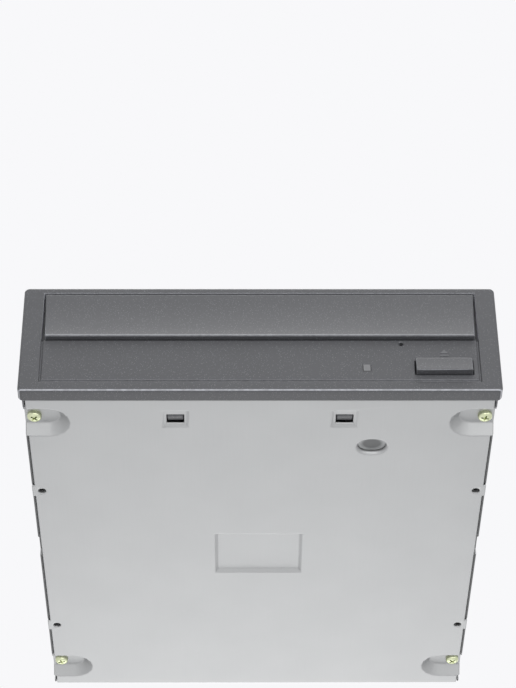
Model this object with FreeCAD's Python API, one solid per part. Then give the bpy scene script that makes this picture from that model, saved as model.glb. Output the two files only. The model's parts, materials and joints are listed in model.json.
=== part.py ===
"""Half-height internal optical disc drive, in millimetres.

The drive lies flat: x to the right seen from the front, y back from the bezel's rear face, z up from the
underside. Each piece is written about the middle of the bottom mounting holes, the drive's own origin.
"""
import FreeCAD, Part
import math
import os

V = FreeCAD.Vector
OVER = 1.0                # cuts reach this far past what they cut
WHEEL_SIDES = 20          # flats round a hidden wheel
SMALL_SIDES = 12          # flats round a small hidden wheel
BORE_SIDES = 8            # flats in a hole for a round shaft
HEAD_SIDES = 8            # flats on a small screw head or boss
HOLE_SIDES = 6            # flats in a screw hole
SHANK_SIDES = 4           # flats on a screw's shank
ROUND_STEPS = 8           # flats in a pressed slot's round end
CORNER_STEPS = 3          # flats in a tray corner

# Disc and tray
DISC_D = 120.0
MINI_DISC_D = 80.0
DISC_T = 1.2
WELL_FIT = 0.5            # room round a disc in its well
TRAY_RIM = 4.8            # disc edge to the tray's side edge
TRAY_LEAD = 6.0           # bezel's rear face to the disc edge
TRAY_TAIL = 32.0          # disc edge to the tray's rear end
TRAY_FLOOR = 1.5
MINI_STEP = 0.6           # disc seat above the mini-disc well
RIM_H = 2.7               # tray rim above the disc seat
WINDOW_HALF = 20.0        # tray window for turntable and pickup
TRAY_WALL = 2.0
TRAY_CORNER = 3.0
TAIL_GAP = 4.0            # disc edge to the hollow in the tray's tail
SCOOP_R = 9.0             # finger scoops at the disc's edge
SCOOP_IN = 3.0
HOLLOW_X = 46.0           # hollow front corners under the rim
HOLLOW_END = 43.2         # hollow's rear end to the disc's middle
HOLLOW_SKIN = 1.8
HOLLOW_WALL = 1.8         # left round the disc well
TRAY_GAP = 0.7            # tray above the drive gear
RAIL_PLAY = 0.3           # tray to its rails, up and down
RAIL_GAP = 0.5            # tray edge to the frame's wall

# Sheet-metal covers
SHEET = 0.7
BEND_R = 1.2
COVER_GAP = 0.5           # frame columns to the cover's side wall
PLATE_GAP = 0.2           # bottom cover's edge to the side wall
NOTCH_PLAY = 0.3
FRONT_SEAM = 0.4          # bottom cover to the bezel
REAR_ROOM = 6.3           # tray's rear end to the rear wall
TOP_ROOM = 1.7            # clamper cap to the top cover
FLANGE_H = 5.8
REAR_WALL_H = 12.4
PANEL_HALF = 34.0         # square panel pressed into the top cover
STEP_START = 26.6         # step in the wall's lower edge, from the first mounting hole
STEP_L = 10.0
STEP_H = 2.9
WALL_LOW = 0.5            # side walls above the underside
BEAD_X = 50.0
BEAD_HALF = 3.0
BEAD_END = 12.0           # bead's end to the row of cover screws

# Standard bay mounting holes, for M3 screws
HOLE_R = 1.25
HOLE_FIRST = 47.4
HOLE_PITCH = 79.25
BOTTOM_HOLE_EDGE = 3.15   # bottom hole to the body's side
SIDE_HOLE_LOW = 9.93
SIDE_HOLE_HIGH = 21.84
COLLAR_WALL = 0.9
COLLAR_H = 1.2
TAB_HALF = 2.8

# Pressed forms in the bottom cover
POCKET_HALF = 6.85
POCKET_DEPTH = 3.1
POCKET_REACH = 14.2       # pocket's inner end to the body's side
SCREW_EDGE = 3.0          # cover screw to the body's side
SCREW_HEAD_R = 2.25
SCREW_HEAD_H = 1.5
SCREW_SHANK_R = 1.25
SCREW_L = 9.0
SCREW_FIT = 0.35
SCREW_FRONT = 11.45
SCREW_REAR_EDGE = 11.5    # rear cover screw to the rear face
HOOK_X = 26.2
HOOK_Y = 10.2
HOOK_W = 4.9
HOOK_L = 3.8
HOOK_PLAY = 0.22
RECESS_Y = 9.6
RECESS_HALF = 4.35
RECESS_DEPTH = 0.5
RECESS_SLOPE = 0.9
PORT_HALF = 4.05
PORT_STRAIGHT = 2.1
PORT_DEPTH = 0.7
PORT_SLOPE = 0.7
PAD_HALF_X = 14.6
PAD_Y = 71.3
PAD_L = 22.7
PAD_EMBOSS = 0.9
PAD_SLOPE = 1.2

# Front bezel
BEZEL_EDGE = 1.1          # bezel past the body at each side
BEZEL_LOW = 0.4           # bezel below and above the body
BEZEL_D = 5.0
BEZEL_CORNER = 1.6
BEZEL_ROUND = 0.6
BEZEL_WALL = 2.4
BEZEL_SKIN = 1.8
BEZEL_RIB = 1.2
BEZEL_RELIEF = 1.0
BEZEL_RIB_PITCH = 15.0
BEZEL_RIBS = (-4, -3, -1, 0, 1)      # clear of hooks, light and button
DOOR_SIDE = 2.5           # door past the tray's side edge
DOOR_DROP = 7.65          # door below the tray
DOOR_RISE = 5.9           # door above the tray's rim
DOOR_GAP = 0.45
DOOR_T = 2.1
DOOR_LIP = 1.65
DOOR_BOW = 0.35           # door's swept face proud of the bezel at half height
DOOR_LIP_R = 0.4
DOOR_TAPER = 0.75         # door narrower at its lip than at its top, each side
DOOR_FLARE = 0.5          # height of the band flared out to the lip
DOOR_FLARE_OUT = 0.3
DOOR_TOP_R = 0.6
DOOR_HOOK_X = 44.4
DOOR_HOOK_HALF = 4.0
DOOR_HOOK_DROP = 3.0      # hook below the tray
DOOR_HOOK_T = 2.0
DOOR_HOOK_FIT = 0.3
DOOR_BARB = 0.7
DOOR_BARB_L = 1.2
DOOR_BARB_GAP = 0.1
APRON_T = 2.0             # apron under the tray that the door hooks into
APRON_H = 6.0
APRON_IN = 8.0
LEDGE = 2.0               # step that the door closes against
LEDGE_GAP = 0.4
PANEL_LOW = 3.5           # panel groove above the bezel's lower edge
GROOVE_W = 0.7
GROOVE_DEPTH = 0.55
PIN_HOLE_STEP = 12.9      # emergency hole to the button's middle
PIN_HOLE_DROP = 1.95      # and below the door
PIN_HOLE_R = 0.7
CLIP_LOW = 23.0
CLIP_H = 8.0
CLIP_END = 6.4
CLIP_TOOTH = 2.4
CLIP_T = 1.0
HOOK_ARM = 1.6
HOOK_CATCH = 0.72         # snap hook's catch into its window
HOOK_LAND = 1.2
HOOK_TIP = 0.3
LUG_LOW = 0.3             # lugs beside the front pockets
LUG_RISE = 0.5
LUG_GAP = 0.05

# Eject button, status light and front board
BUTTON_SIDE = 16.45       # button's middle to the body's side
BUTTON_W = 17.3
BUTTON_LOW = 6.2
BUTTON_H = 5.4
BUTTON_LIP = 2.0
BUTTON_RISE = 1.3         # button's upper edge in front of the bezel
BUTTON_GAP = 0.35
BUTTON_STEM = 4.0
BUTTON_TRAVEL = 0.8
BUTTON_BOW = 1.6          # swept face proud of the bezel at half height
BUTTON_EDGE = 0.15
BUTTON_CORNER = 0.6
BUTTON_FLANGE = 1.0
BUTTON_STOP = 0.1         # flange behind the bezel's wall
LIGHT_FIT = 0.12
LIGHT_GAP = 0.3           # light pipe to the diode
LIGHT_FLANGE = 0.8
DIODE_HALF = 1.5
DIODE_L = 2.6
DIODE_LENS = 0.4
BOARD_MARGIN = 1.3        # front board to motor and walls
LIGHT_STEP = 23.75        # light to the button's middle
LIGHT_W = 2.2
LIGHT_H = 2.4
LIGHT_RISE = 0.3
FRONT_BOARD_Y = 8.0
FRONT_BOARD_L = 23.5
FRONT_BOSS_Y = 13.5       # front board's screws behind its front edge
FRONT_BOSS_X = (-8.0, 5.0)           # from the button's middle
SWITCH_W = 6.0
SWITCH_H = 3.6
SWITCH_L = 4.2
SWITCH_BACK = 0.8
SWITCH_SET = 0.4          # switch behind the board's edge
SWITCH_BOSS = 2.4         # plunger in front of its switch
PLUNGER_R = 1.3
PLUNGER_FIT = 0.15

# Main board at the bottom
PAD_T = 0.8
CHIP_T = 1.2
BOARD_T = 1.6
BOARD_EDGE = 5.3          # board to the frame's walls
BOARD_FRONT = 62.0
BOARD_BACK_GAP = 1.1      # board to the rear wall
PLUG_SIDE = 40.0          # plug's middle to the body's side
PLUG_W = 38.0
PLUG_H = 6.4
PLUG_L = 14.0
PLUG_DATA_W = 12.5        # data side of the plug
PLUG_DIVIDER = 1.2
PLUG_DEPTH = 7.5
PLUG_WALL = 1.0
TONGUE_T = 1.2
TONGUE_SET = 0.6          # tongue behind the rear face
KEY_W = 1.2
KEY_H = 1.8
CONTACT_PITCH = 1.27
CONTACT_HALF = 0.35
CONTACT_T = 0.15
CONTACT_SET = 1.0
DATA_CONTACTS = 7
POWER_CONTACTS = 15
CHIP_HALF = 9.0
THERMAL_HALF = 8.0
SMALL_CHIP_T = 1.1
CHIP_PLACES = (           # x, distance from the board's front, half width, half length
    (-30, 40, 5, 4), (-8, 44, 6, 6), (24, 38, 4, 5), (40, 58, 3, 3), (20, 70, 4, 3))
CAN_R = 2.6
CAN_H = 5.4
CAN_EDGE = 6.0
CAN_PLACES = ((1, 30), (1, 38), (-1, 34), (-1, 44))      # side, distance from the board's front
BOARD_BOSS_EDGE = 4.0
BOARD_BOSS_FRONT = 8.0
BOARD_BOSS_REAR = 16.0
RIBBON_LEFT = 7.5         # loader ribbon's edges from the button's middle
RIBBON_RIGHT = 2.0
RIBBON_T = 0.3
RIBBON_LIFT = 0.9         # ribbon above its boards
RIBBON_RUN = 4.0
RIBBON_FALL = 8.0
SOCKET_WALL = 1.0
SOCKET_L = 4.0
SOCKET_H = 2.0
SOCKET_EDGE = 0.5         # socket to the board's edge
PICKUP_SOCKET_HALF = 12.0
PICKUP_SOCKET_Y = 60.0    # pickup's socket behind the board's front

# Loader frame
FRAME_WALL = 2.2
SMALL_HEAD_R = 1.9        # small screws inside
SMALL_HEAD_H = 1.0
SMALL_SHANK_R = 0.9
SMALL_GRIP = 4.0          # thread in the piece behind
PILOT_R = 1.2
CLEAR_R = 1.4
COLUMN_BORE = 1.5
BOSS_R = 3.0
BOSS_H = 7.0
FLANGE_GAP = 1.0          # ribs above the bottom cover's flanges
OPENING_DROP = 6.0        # side openings below the tray
GUIDE_T = 1.5             # walls round the cam slider
REAR_BAR_GAP = 2.0        # rear bar behind the lift frame
REAR_BAR_LOW = 3.0
REAR_BAR_HIGH = 5.0
COLUMN = 4.3              # screw columns outside the wall
COLUMN_HALF = 3.5
FRAME_FRONT = 3.0
FRAME_REAR_GAP = 3.3
WALL_FOOT = 0.5           # frame's walls above the bottom cover
RAIL_W = 3.8
RAIL_T = 1.9
LIP_W = 2.5
LIP_T = 1.2
DECK_T = 1.6
DECK_FRONT = 14.0
POST_R = 1.5
POST_COLLAR = 3.0
POST_TIP = 0.6
COLLAR_PLAY = 0.1
RUN_FIT = 0.06            # turning parts on their posts
RIB_T = 2.0
RIB_STEPS = (-15.0, 56.0, 92.0)      # side ribs from the first row of mounting holes
OPENING_STEPS = (6.0, 30.0, 60.0)    # side openings from that row
OPENING_L = 16.0

# Loading drive
GEAR_MODULE = 1.0
RACK_MODULE = 1.5
PRESSURE = math.radians(20)
ADDENDUM = 0.68          # tooth above the pitch line, in modules
DEDENDUM = 0.95
BACKLASH = 0.15
RACK_TEETH = 12
WHEEL_TEETH = 28
PINION_TEETH = 14
DRIVE_SIDE = 29.8         # drive gear to the tray's side edge
DRIVE_Y = 22.0
MOTOR_STEP = 21.25        # motor to the button's middle
MOTOR_Y = 24.0
MOTOR_R = 8.0
MOTOR_FLAT = 7.0
MOTOR_H = 13.95
MOTOR_FOOT = 0.75         # motor above the bottom cover's sheet
MOTOR_BOSS_R = 3.0
MOTOR_BOSS_FIT = 0.2
MOTOR_SCREW_X = 5.4
MOTOR_GRIP = 2.2
MOTOR_SHAFT_IN = 5.5      # shaft inside the motor
MOTOR_SHAFT_R = 0.75
MOTOR_PULLEY_R = 2.6
BELT_PULLEY_R = 10.4
BELT_T = 1.2
BELT_FIT = 0.1
PULLEY_FLANGE = 1.5       # flange past the belt's inner face
PULLEY_GAP = 1.6          # pulley above the deck
PULLEY_T = 2.8
GEAR_GAP = 0.4
GEAR_T = 2.2
PINION_T = 3.0
PINION_OVER = 0.2         # pinion past the wheel that it drives
RACK_WALL = 2.8
TRAY_SWITCH_X = 12.0      # tray switch to the motor
TRAY_SWITCH_Y = 6.5       # and to the cam slider
TRAY_SWITCH_W = 6.0
TRAY_SWITCH_L = 4.0
TRAY_SWITCH_H = 4.0
LEVER_H = 3.0
LEVER_L = 3.0
LEVER_T = 1.0

# Cam slider and lift frame
LIFT_DROP = 10.0
CAM_RUN = 20.0
PIN_X = 20.0
PIN_R = 1.5
PIN_PLAY = 0.4
PIN_END = 0.2             # pin past the slider
SLIDER_Y = 44.0
SLIDER_T = 2.0
SLIDER_RIM = 1.3
SLIDER_FOOT = 3.1         # slider above the bottom cover's sheet
SLIDER_PLAY = 0.3
SLIDER_END = 4.1
LIFT_GAP = 1.0            # slider to the lift frame
LIFT_HALF = 40.5
LIFT_RAIL = 7.0
LIFT_BAR = 6.0
LIFT_T = 4.0
PIVOT_REAR = 15.0         # pivot to the frame's rear end
PIVOT_R = 2.0
PIVOT_TAIL = 8.0          # lift frame behind its pivot
CRADLE_GAP = 0.5
CRADLE_T = 4.2
CRADLE_WALL = 3.0

# Traverse
PLATE_T = 1.2
PLATE_EDGE = 0.5
PLATE_FRONT_GAP = 2.0
PLATE_ROOM = 0.7          # plate round moving pieces
DAMPER_R = 3.4
DAMPER_NECK = 2.2
DAMPER_BORE = 1.3
DAMPER_FIT = 0.02
DAMPER_HEAD_IN = 0.4      # screw head inside the grommet's edge
DAMPER_FLANGE = 1.0
DAMPER_INSET = 5.0        # damper to the lift frame's end
ROD_R = 1.5
ROD_LIFT = 0.4
ROD_X = 24.5
SUB_ROD_X = -26.0
SCREW_X = 30.0
SCREW_R = 1.5
ROD_WALL = 1.6
ROD_FIT = 0.02
HOLDER_L = 3.0
SLED_MOTOR_R = 4.0
SLED_MOTOR_L = 11.5
SLED_MOTOR_Y = 56.0
SLED_FLANGE = 1.0
SCREW_SEAT = 5.0          # lead screw inside its motor
SCREW_END = 0.5

# Spindle and clamper
BASE_T = 0.8
BASE_HALF = 15.0
BASE_FRONT = 13.0
BELL_R = 12.0
BELL_WALL = 0.8
BELL_GAP = 0.6
SHAFT_R = 1.0
SHAFT_FIT = 0.03
BEARING_R = 3.6
BEARING_DROP = 2.5        # bearing tube below the traverse plate
BEARING_FLOOR = 1.0
BEARING_GAP = 0.3
STATOR_R = 9.6
STATOR_POLES = 9
STATOR_CORE = 2.0
POLE_HALF = 1.2
POLE_INSET = 0.8
TABLE_R = 14.5
TABLE_T = 2.8
TABLE_PAD_T = 0.8
TABLE_PAD_W = 4.5
TABLE_PAD_IN = 0.5        # pad inside the turntable's edge
HUB_R = 7.4
HUB_H = 2.4
MAGNET_R = 5.2
MAGNET_WALL = 0.6
MAGNET_BORE = 1.5
MAGNET_SINK = 0.2
DISC_LIFT = 2.0           # turntable above the tray's disc seat
CLAMP_GAP = 0.2
PUCK_R = 15.5
PUCK_T = 1.6
HUB_ROOM = 0.8            # puck round the hub
ROOF_ROOM = 0.5           # puck above the hub
YOKE_T = 0.3
NECK_R = 11.8
NECK_GAP = 0.7
CAP_R = 14.5
CAP_T = 1.8
CAP_GAP = 0.4
BRIDGE_LIFT = 1.0         # bridge above the rail lips
BRIDGE_T = 1.2
BRIDGE_HALF = 6.0
EYE_WALL = 5.0

# Pickup sled
LENS_START = 22.0         # lens to the spindle axis, innermost
LENS_END = 2.0            # lens to the disc's edge, outermost
SLED_FRONT = 8.0
SLED_BACK = 18.0
SLED_HALF = 19.0
SLED_H = 10.0
SLED_FIT = 0.05
SLED_ROOM = 2.0
LENS_R = 2.9
LENS_H = 1.4
LENS_CUP = 0.8
LENS_DEPTH = 3.0          # lens seat below the turntable's pad
HOLDER_SINK = 1.2         # holder sunk into the sled
CUP_H = 1.0
HOLDER_HALF = 5.5
PICKUP_SKIN = 0.5
PICKUP_COVER_H = 2.0
EAR_L = 6.0
EAR_ARM = 2.0
SUB_EAR_L = 8.0
TABLE_ROOM = 1.2          # sled round the turntable
BAY_ROOM = 2.5            # lens drive's bay round the holder
BAY_FRONT = 0.8
BAY_DEPTH = 4.6
SLED_WALL = 2.0
NUT_L = 7.0
NUT_ARM = 8.0
NUT_ARM_T = 1.4
NUT_WALL = 1.2
NUT_FLOOR = 1.0
NUT_FIT = 0.1

# Places that follow from the sizes above
TRAY_HALF = DISC_D / 2 + TRAY_RIM
DRIVE_X = DRIVE_SIDE - TRAY_HALF
DISC_Y = TRAY_LEAD + DISC_D / 2
TRAY_END = DISC_Y + DISC_D / 2 + TRAY_TAIL
WALL_IN = TRAY_HALF + RAIL_GAP
WALL_OUT = WALL_IN + FRAME_WALL
COLUMN_OUT = WALL_OUT + COLUMN
SIDE_IN = COLUMN_OUT + COVER_GAP
BODY_HALF = SIDE_IN + SHEET
BUTTON_X = BODY_HALF - BUTTON_SIDE
LIGHT_X = BUTTON_X - LIGHT_STEP
MOTOR_X = BUTTON_X - MOTOR_STEP
PIN_HOLE_X = BUTTON_X - PIN_HOLE_STEP
PLUG_X = PLUG_SIDE - BODY_HALF
BODY_D = TRAY_END + REAR_ROOM + SHEET
FRAME_BACK = BODY_D - SHEET - FRAME_REAR_GAP
PIVOT_Y = FRAME_BACK - PIVOT_REAR
SLED_TRAVEL = DISC_D / 2 - LENS_START - LENS_END
PATTERN_Y = HOLE_FIRST + HOLE_PITCH / 2
HOLE_ROWS = (HOLE_FIRST, HOLE_FIRST + HOLE_PITCH)
BOTTOM_HOLE_X = BODY_HALF - BOTTOM_HOLE_EDGE
SCREW_ROWS = (SCREW_FRONT, BODY_D - SCREW_REAR_EDGE)
COVER_SCREW_X = BODY_HALF - SCREW_EDGE

BOARD_Z = SHEET + PAD_EMBOSS + PAD_T + CHIP_T
BOARD_TOP = BOARD_Z + BOARD_T
BOARD_HALF = WALL_IN - BOARD_EDGE
BOARD_BACK = BODY_D - SHEET - BOARD_BACK_GAP
PLATE_EDGE_X = SIDE_IN - PLATE_GAP

SLOT_HALF = PIN_R + PIN_PLAY
SLIDER_Z = SHEET + SLIDER_FOOT
LIFT_Z = SLIDER_Z + SLIDER_RIM + SLOT_HALF + LIFT_DROP
SLIDER_TOP = LIFT_Z + SLOT_HALF + SLIDER_RIM
LIFT_FRONT = SLIDER_Y + SLIDER_T + LIFT_GAP
LIFT_BACK = PIVOT_Y + PIVOT_TAIL
PLATE_Z = LIFT_Z + LIFT_T / 2 + DAMPER_FLANGE
PLATE_TOP = PLATE_Z + PLATE_T
ROD_Z = PLATE_TOP + ROD_LIFT + ROD_R
DAMPER_X = LIFT_HALF - LIFT_RAIL / 2
DAMPER_ROWS = (LIFT_FRONT + DAMPER_INSET, LIFT_BACK - DAMPER_INSET)

DECK_Z = SHEET + MOTOR_FOOT + MOTOR_H
DECK_TOP = DECK_Z + DECK_T
PULLEY_Z = DECK_TOP + PULLEY_GAP
GEAR_Z = PULLEY_Z + PULLEY_T + GEAR_GAP
RACK_PINION_Z = GEAR_Z + GEAR_T
TRAY_Z = RACK_PINION_Z + PINION_T + TRAY_GAP
RACK_Z = RACK_PINION_Z + GEAR_GAP
RACK_X = DRIVE_X - RACK_MODULE * RACK_TEETH / 2
BELT_GEAR_X = DRIVE_X + GEAR_MODULE * (WHEEL_TEETH + PINION_TEETH) / 2
BELT_Z = PULLEY_Z + (PULLEY_T - BELT_T) / 2

WELL_Z = TRAY_Z + TRAY_FLOOR
SEAT_Z = WELL_Z + MINI_STEP
RIM_Z = SEAT_Z + RIM_H
LIP_Z = RIM_Z + RAIL_PLAY
BRIDGE_Z = LIP_Z + LIP_T + BRIDGE_LIFT
CAP_Z = BRIDGE_Z + BRIDGE_T + CAP_GAP
COVER_IN_Z = CAP_Z + CAP_T + TOP_ROOM
BODY_H = COVER_IN_Z + SHEET
PAD_TOP = SEAT_Z + DISC_LIFT
TABLE_Z = PAD_TOP - TABLE_PAD_T - TABLE_T
BASE_TOP = PLATE_TOP + BASE_T
BELL_Z = BASE_TOP + BELL_GAP
HUB_TOP = PAD_TOP + HUB_H
PUCK_Z = PAD_TOP + DISC_T + CLAMP_GAP
PUCK_ROOF = HUB_TOP + ROOF_ROOM

DOOR_HALF = TRAY_HALF + DOOR_SIDE
DOOR_Z = TRAY_Z - DOOR_DROP
DOOR_TOP = RIM_Z + DOOR_RISE
LEDGE_Y = DOOR_T + LEDGE_GAP - BEZEL_D
TRAY_NOSE = BEZEL_D - DOOR_T
SLOT_HALF_W = DOOR_HALF + DOOR_GAP
BUTTON_Z = BUTTON_LOW + BUTTON_H / 2
FRONT_BOARD_Z = BUTTON_Z - SWITCH_H / 2 - BOARD_T
FRONT_BOARD_TOP = FRONT_BOARD_Z + BOARD_T
SWITCH_Y = FRONT_BOARD_Y + SWITCH_SET
PLUNGER_TIP = SWITCH_Y - SWITCH_BOSS
LIGHT_Z = FRONT_BOARD_TOP + LIGHT_H / 2 + LIGHT_RISE
LENS_Y = DISC_Y + LENS_START
LENS_SEAT = PAD_TOP - LENS_DEPTH
SLED_Z = ROD_Z + ROD_R + ROD_WALL - SLED_H
SLED_TOP = SLED_Z + SLED_H
SLED_Y0 = LENS_Y - SLED_FRONT
SLED_Y1 = LENS_Y + SLED_BACK
WINDOW_Y0 = SLED_Y0 - SLED_ROOM
WINDOW_Y1 = SLED_Y1 + SLED_TRAVEL + SLED_ROOM
ROD_Y0 = WINDOW_Y0 - HOLDER_L
ROD_Y1 = WINDOW_Y1 + HOLDER_L


def box(x0, x1, y0, y1, z0, z1):
    """Block between two corners."""
    return Part.makeBox(x1 - x0, y1 - y0, z1 - z0, V(x0, y0, z0))


def disc(x, y, r, z0, z1):
    """Upright cylinder."""
    return Part.makeCylinder(r, z1 - z0, V(x, y, z0))


def rod_y(x, z, r, y0, y1):
    """Cylinder lying front to back."""
    return Part.makeCylinder(r, y1 - y0, V(x, y0, z), V(0, 1, 0))


def rod_x(y, z, r, x0, x1):
    """Cylinder lying across."""
    return Part.makeCylinder(r, x1 - x0, V(x0, y, z), V(1, 0, 0))


def ngon(x, y, r, sides):
    """Points of a regular outline with a flat towards +x."""
    angles = [2 * math.pi * (i + 0.5) / sides for i in range(sides)]
    return [(x + r * math.cos(a), y + r * math.sin(a)) for a in angles]


def flat(points, z):
    """Level face inside an outline."""
    corners = [V(x, y, z) for x, y in points]
    return Part.Face(Part.makePolygon(corners + corners[:1]))


def upright(points, z0, z1):
    """Straight-sided solid on an outline."""
    return flat(points, z0).extrude(V(0, 0, z1 - z0))


def prism(x, y, r, sides, z0, z1):
    """Upright many-sided bar, for small holes, bosses and fasteners with few faces."""
    return upright(ngon(x, y, r, sides), z0, z1)


def bore(x, y, r, z0, z1):
    """Upright hole whose flats touch a shaft of the radius."""
    return prism(x, y, r / math.cos(math.pi / BORE_SIDES), BORE_SIDES, z0, z1)


def bar_y(x, z, r, sides, y0, y1):
    """Many-sided bar lying front to back."""
    bar = prism(x, -z, r, sides, y0, y1)
    bar.rotate(V(0, 0, 0), V(1, 0, 0), -90)
    return bar


def wheel(x, y, r, z0, z1):
    """Disc of a hidden wheel, round to within WHEEL_SIDES flats."""
    return prism(x, y, r, WHEEL_SIDES, z0, z1)


def ring(x, y, r_in, r_out, z0, z1):
    """Upright hoop of a hidden wheel."""
    return carve(wheel(x, y, r_out, z0, z1), wheel(x, y, r_in, z0, z1))


def single(shape):
    """The one solid of a shape, or an error where a piece fell apart."""
    if len(shape.Solids) != 1:
        raise ValueError("a piece came out as %d solids" % len(shape.Solids))
    return shape.Solids[0]


def join(first, *others):
    """One solid from pieces that touch."""
    return single(first.multiFuse(list(others)).removeSplitter())


def carve(base, *tools):
    """One solid with the tools cut away."""
    return single(base.cut(list(tools)).removeSplitter())


def both_sides(shape):
    """A shape and its mirror image left to right."""
    return [shape, shape.mirror(V(0, 0, 0), V(1, 0, 0))]


def slot_points(x0, x1, y, half):
    """Slot outline along x, with round ends about x0 and x1."""
    turns = [math.pi * i / ROUND_STEPS - math.pi / 2 for i in range(ROUND_STEPS + 1)]
    right = [(x1 + half * math.cos(a), y + half * math.sin(a)) for a in turns]
    left = [(x0 - half * math.cos(a), y - half * math.sin(a)) for a in turns]
    return right + left


def slot(x0, x1, y, half, z0, z1):
    """Upright slot-shaped solid."""
    return upright(slot_points(x0, x1, y, half), z0, z1)


def box_points(x0, x1, y0, y1):
    """Plain rectangle."""
    return [(x0, y0), (x1, y0), (x1, y1), (x0, y1)]


def rounded(x0, x1, y0, y1, r, z0, z1):
    """Upright block with rounded corners."""
    points = []
    for k, (x, y) in enumerate(((x1 - r, y1 - r), (x0 + r, y1 - r), (x0 + r, y0 + r), (x1 - r, y0 + r))):
        turns = [math.pi / 2 * (k + i / CORNER_STEPS) for i in range(CORNER_STEPS + 1)]
        points += [(x + r * math.cos(a), y + r * math.sin(a)) for a in turns]
    return upright(points, z0, z1)


def draft(low, z0, high, z1):
    """Solid with flat sloping sides between two outlines with matching points."""
    faces = [flat(low, z0), flat(high, z1)]
    for i in range(len(low)):
        corners = [V(*low[i - 1], z0), V(*low[i], z0), V(*high[i], z1), V(*high[i - 1], z1)]
        faces.append(Part.Face(Part.makePolygon(corners + corners[:1])))
    solid = Part.Solid(Part.Shell(faces))
    if solid.Volume < 0:
        solid.reverse()
    return solid


def press(sheet, form, offset):
    """Sheet with a form pressed into it, the same thickness all over."""
    raised = form.copy()
    raised.translate(V(0, 0, offset))
    return carve(join(sheet, raised), form)


def profile_x(x0, x1, corners):
    """Profile of (y, z) corners drawn out along x."""
    points = [V(x0, y, z) for y, z in corners]
    return Part.Face(Part.makePolygon(points + points[:1])).extrude(V(x1 - x0, 0, 0))


def gear(module, teeth, x, y, z0, z1, phase):
    """Spur gear whose flanks join two points of the involute, with a tooth at the phase angle."""
    pitch_r = module * teeth / 2
    base_r = pitch_r * math.cos(PRESSURE)
    root_r = pitch_r - DEDENDUM * module
    tip_r = pitch_r + ADDENDUM * module
    half_tooth = (math.pi * module / 2 - BACKLASH) / 2 / pitch_r

    def half_angle(r):
        roll = math.acos(min(1.0, base_r / r))
        return half_tooth + math.tan(PRESSURE) - PRESSURE - math.tan(roll) + roll

    root_half = half_angle(max(base_r, root_r))
    tip_half = half_angle(tip_r)
    tooth = ((root_r, -root_half), (tip_r, -tip_half), (tip_r, tip_half), (root_r, root_half))
    points = []
    for i in range(teeth):
        centre = phase + 2 * math.pi * i / teeth
        points += [(x + r * math.cos(centre + a), y + r * math.sin(centre + a)) for r, a in tooth]
    return upright(points, z0, z1)


def small_screw(x, y, seat, up, length):
    """One of the small screws inside the drive."""
    return screw(x, y, seat, up, SMALL_HEAD_R, SMALL_HEAD_H, SMALL_SHANK_R, length, HEAD_SIDES)


def screw(x, y, seat, up, head_r, head_h, shank_r, length, sides):
    """Screw whose head bears on a seat; up is 1 where it points up and -1 where it points down."""
    under = seat - up * head_h
    tip = seat + up * length
    head = prism(x, y, head_r, sides, min(seat, under), max(seat, under))
    return join(head, prism(x, y, shank_r, SHANK_SIDES, min(seat, tip), max(seat, tip)))


def write(node, *solids):
    """Write a node's solids about the drive's origin."""
    shape = solids[0] if len(solids) == 1 else Part.makeCompound(list(solids))
    shape = shape.copy()
    shape.translate(V(0, -PATTERN_Y, 0))
    shape.exportStep("parts/%s.step" % node)


# Casing
def pocket_form(side, y):
    """Half-obround pocket, open to the side, that sinks a cover screw's head."""
    inner = BODY_HALF - POCKET_REACH + POCKET_HALF
    outer = BODY_HALF + POCKET_HALF
    form = draft(slot_points(inner, outer, y, POCKET_HALF), 0,
                 slot_points(inner, outer, y, POCKET_HALF - POCKET_DEPTH), POCKET_DEPTH)
    return form if side > 0 else form.mirror(V(0, 0, 0), V(1, 0, 0))


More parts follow.
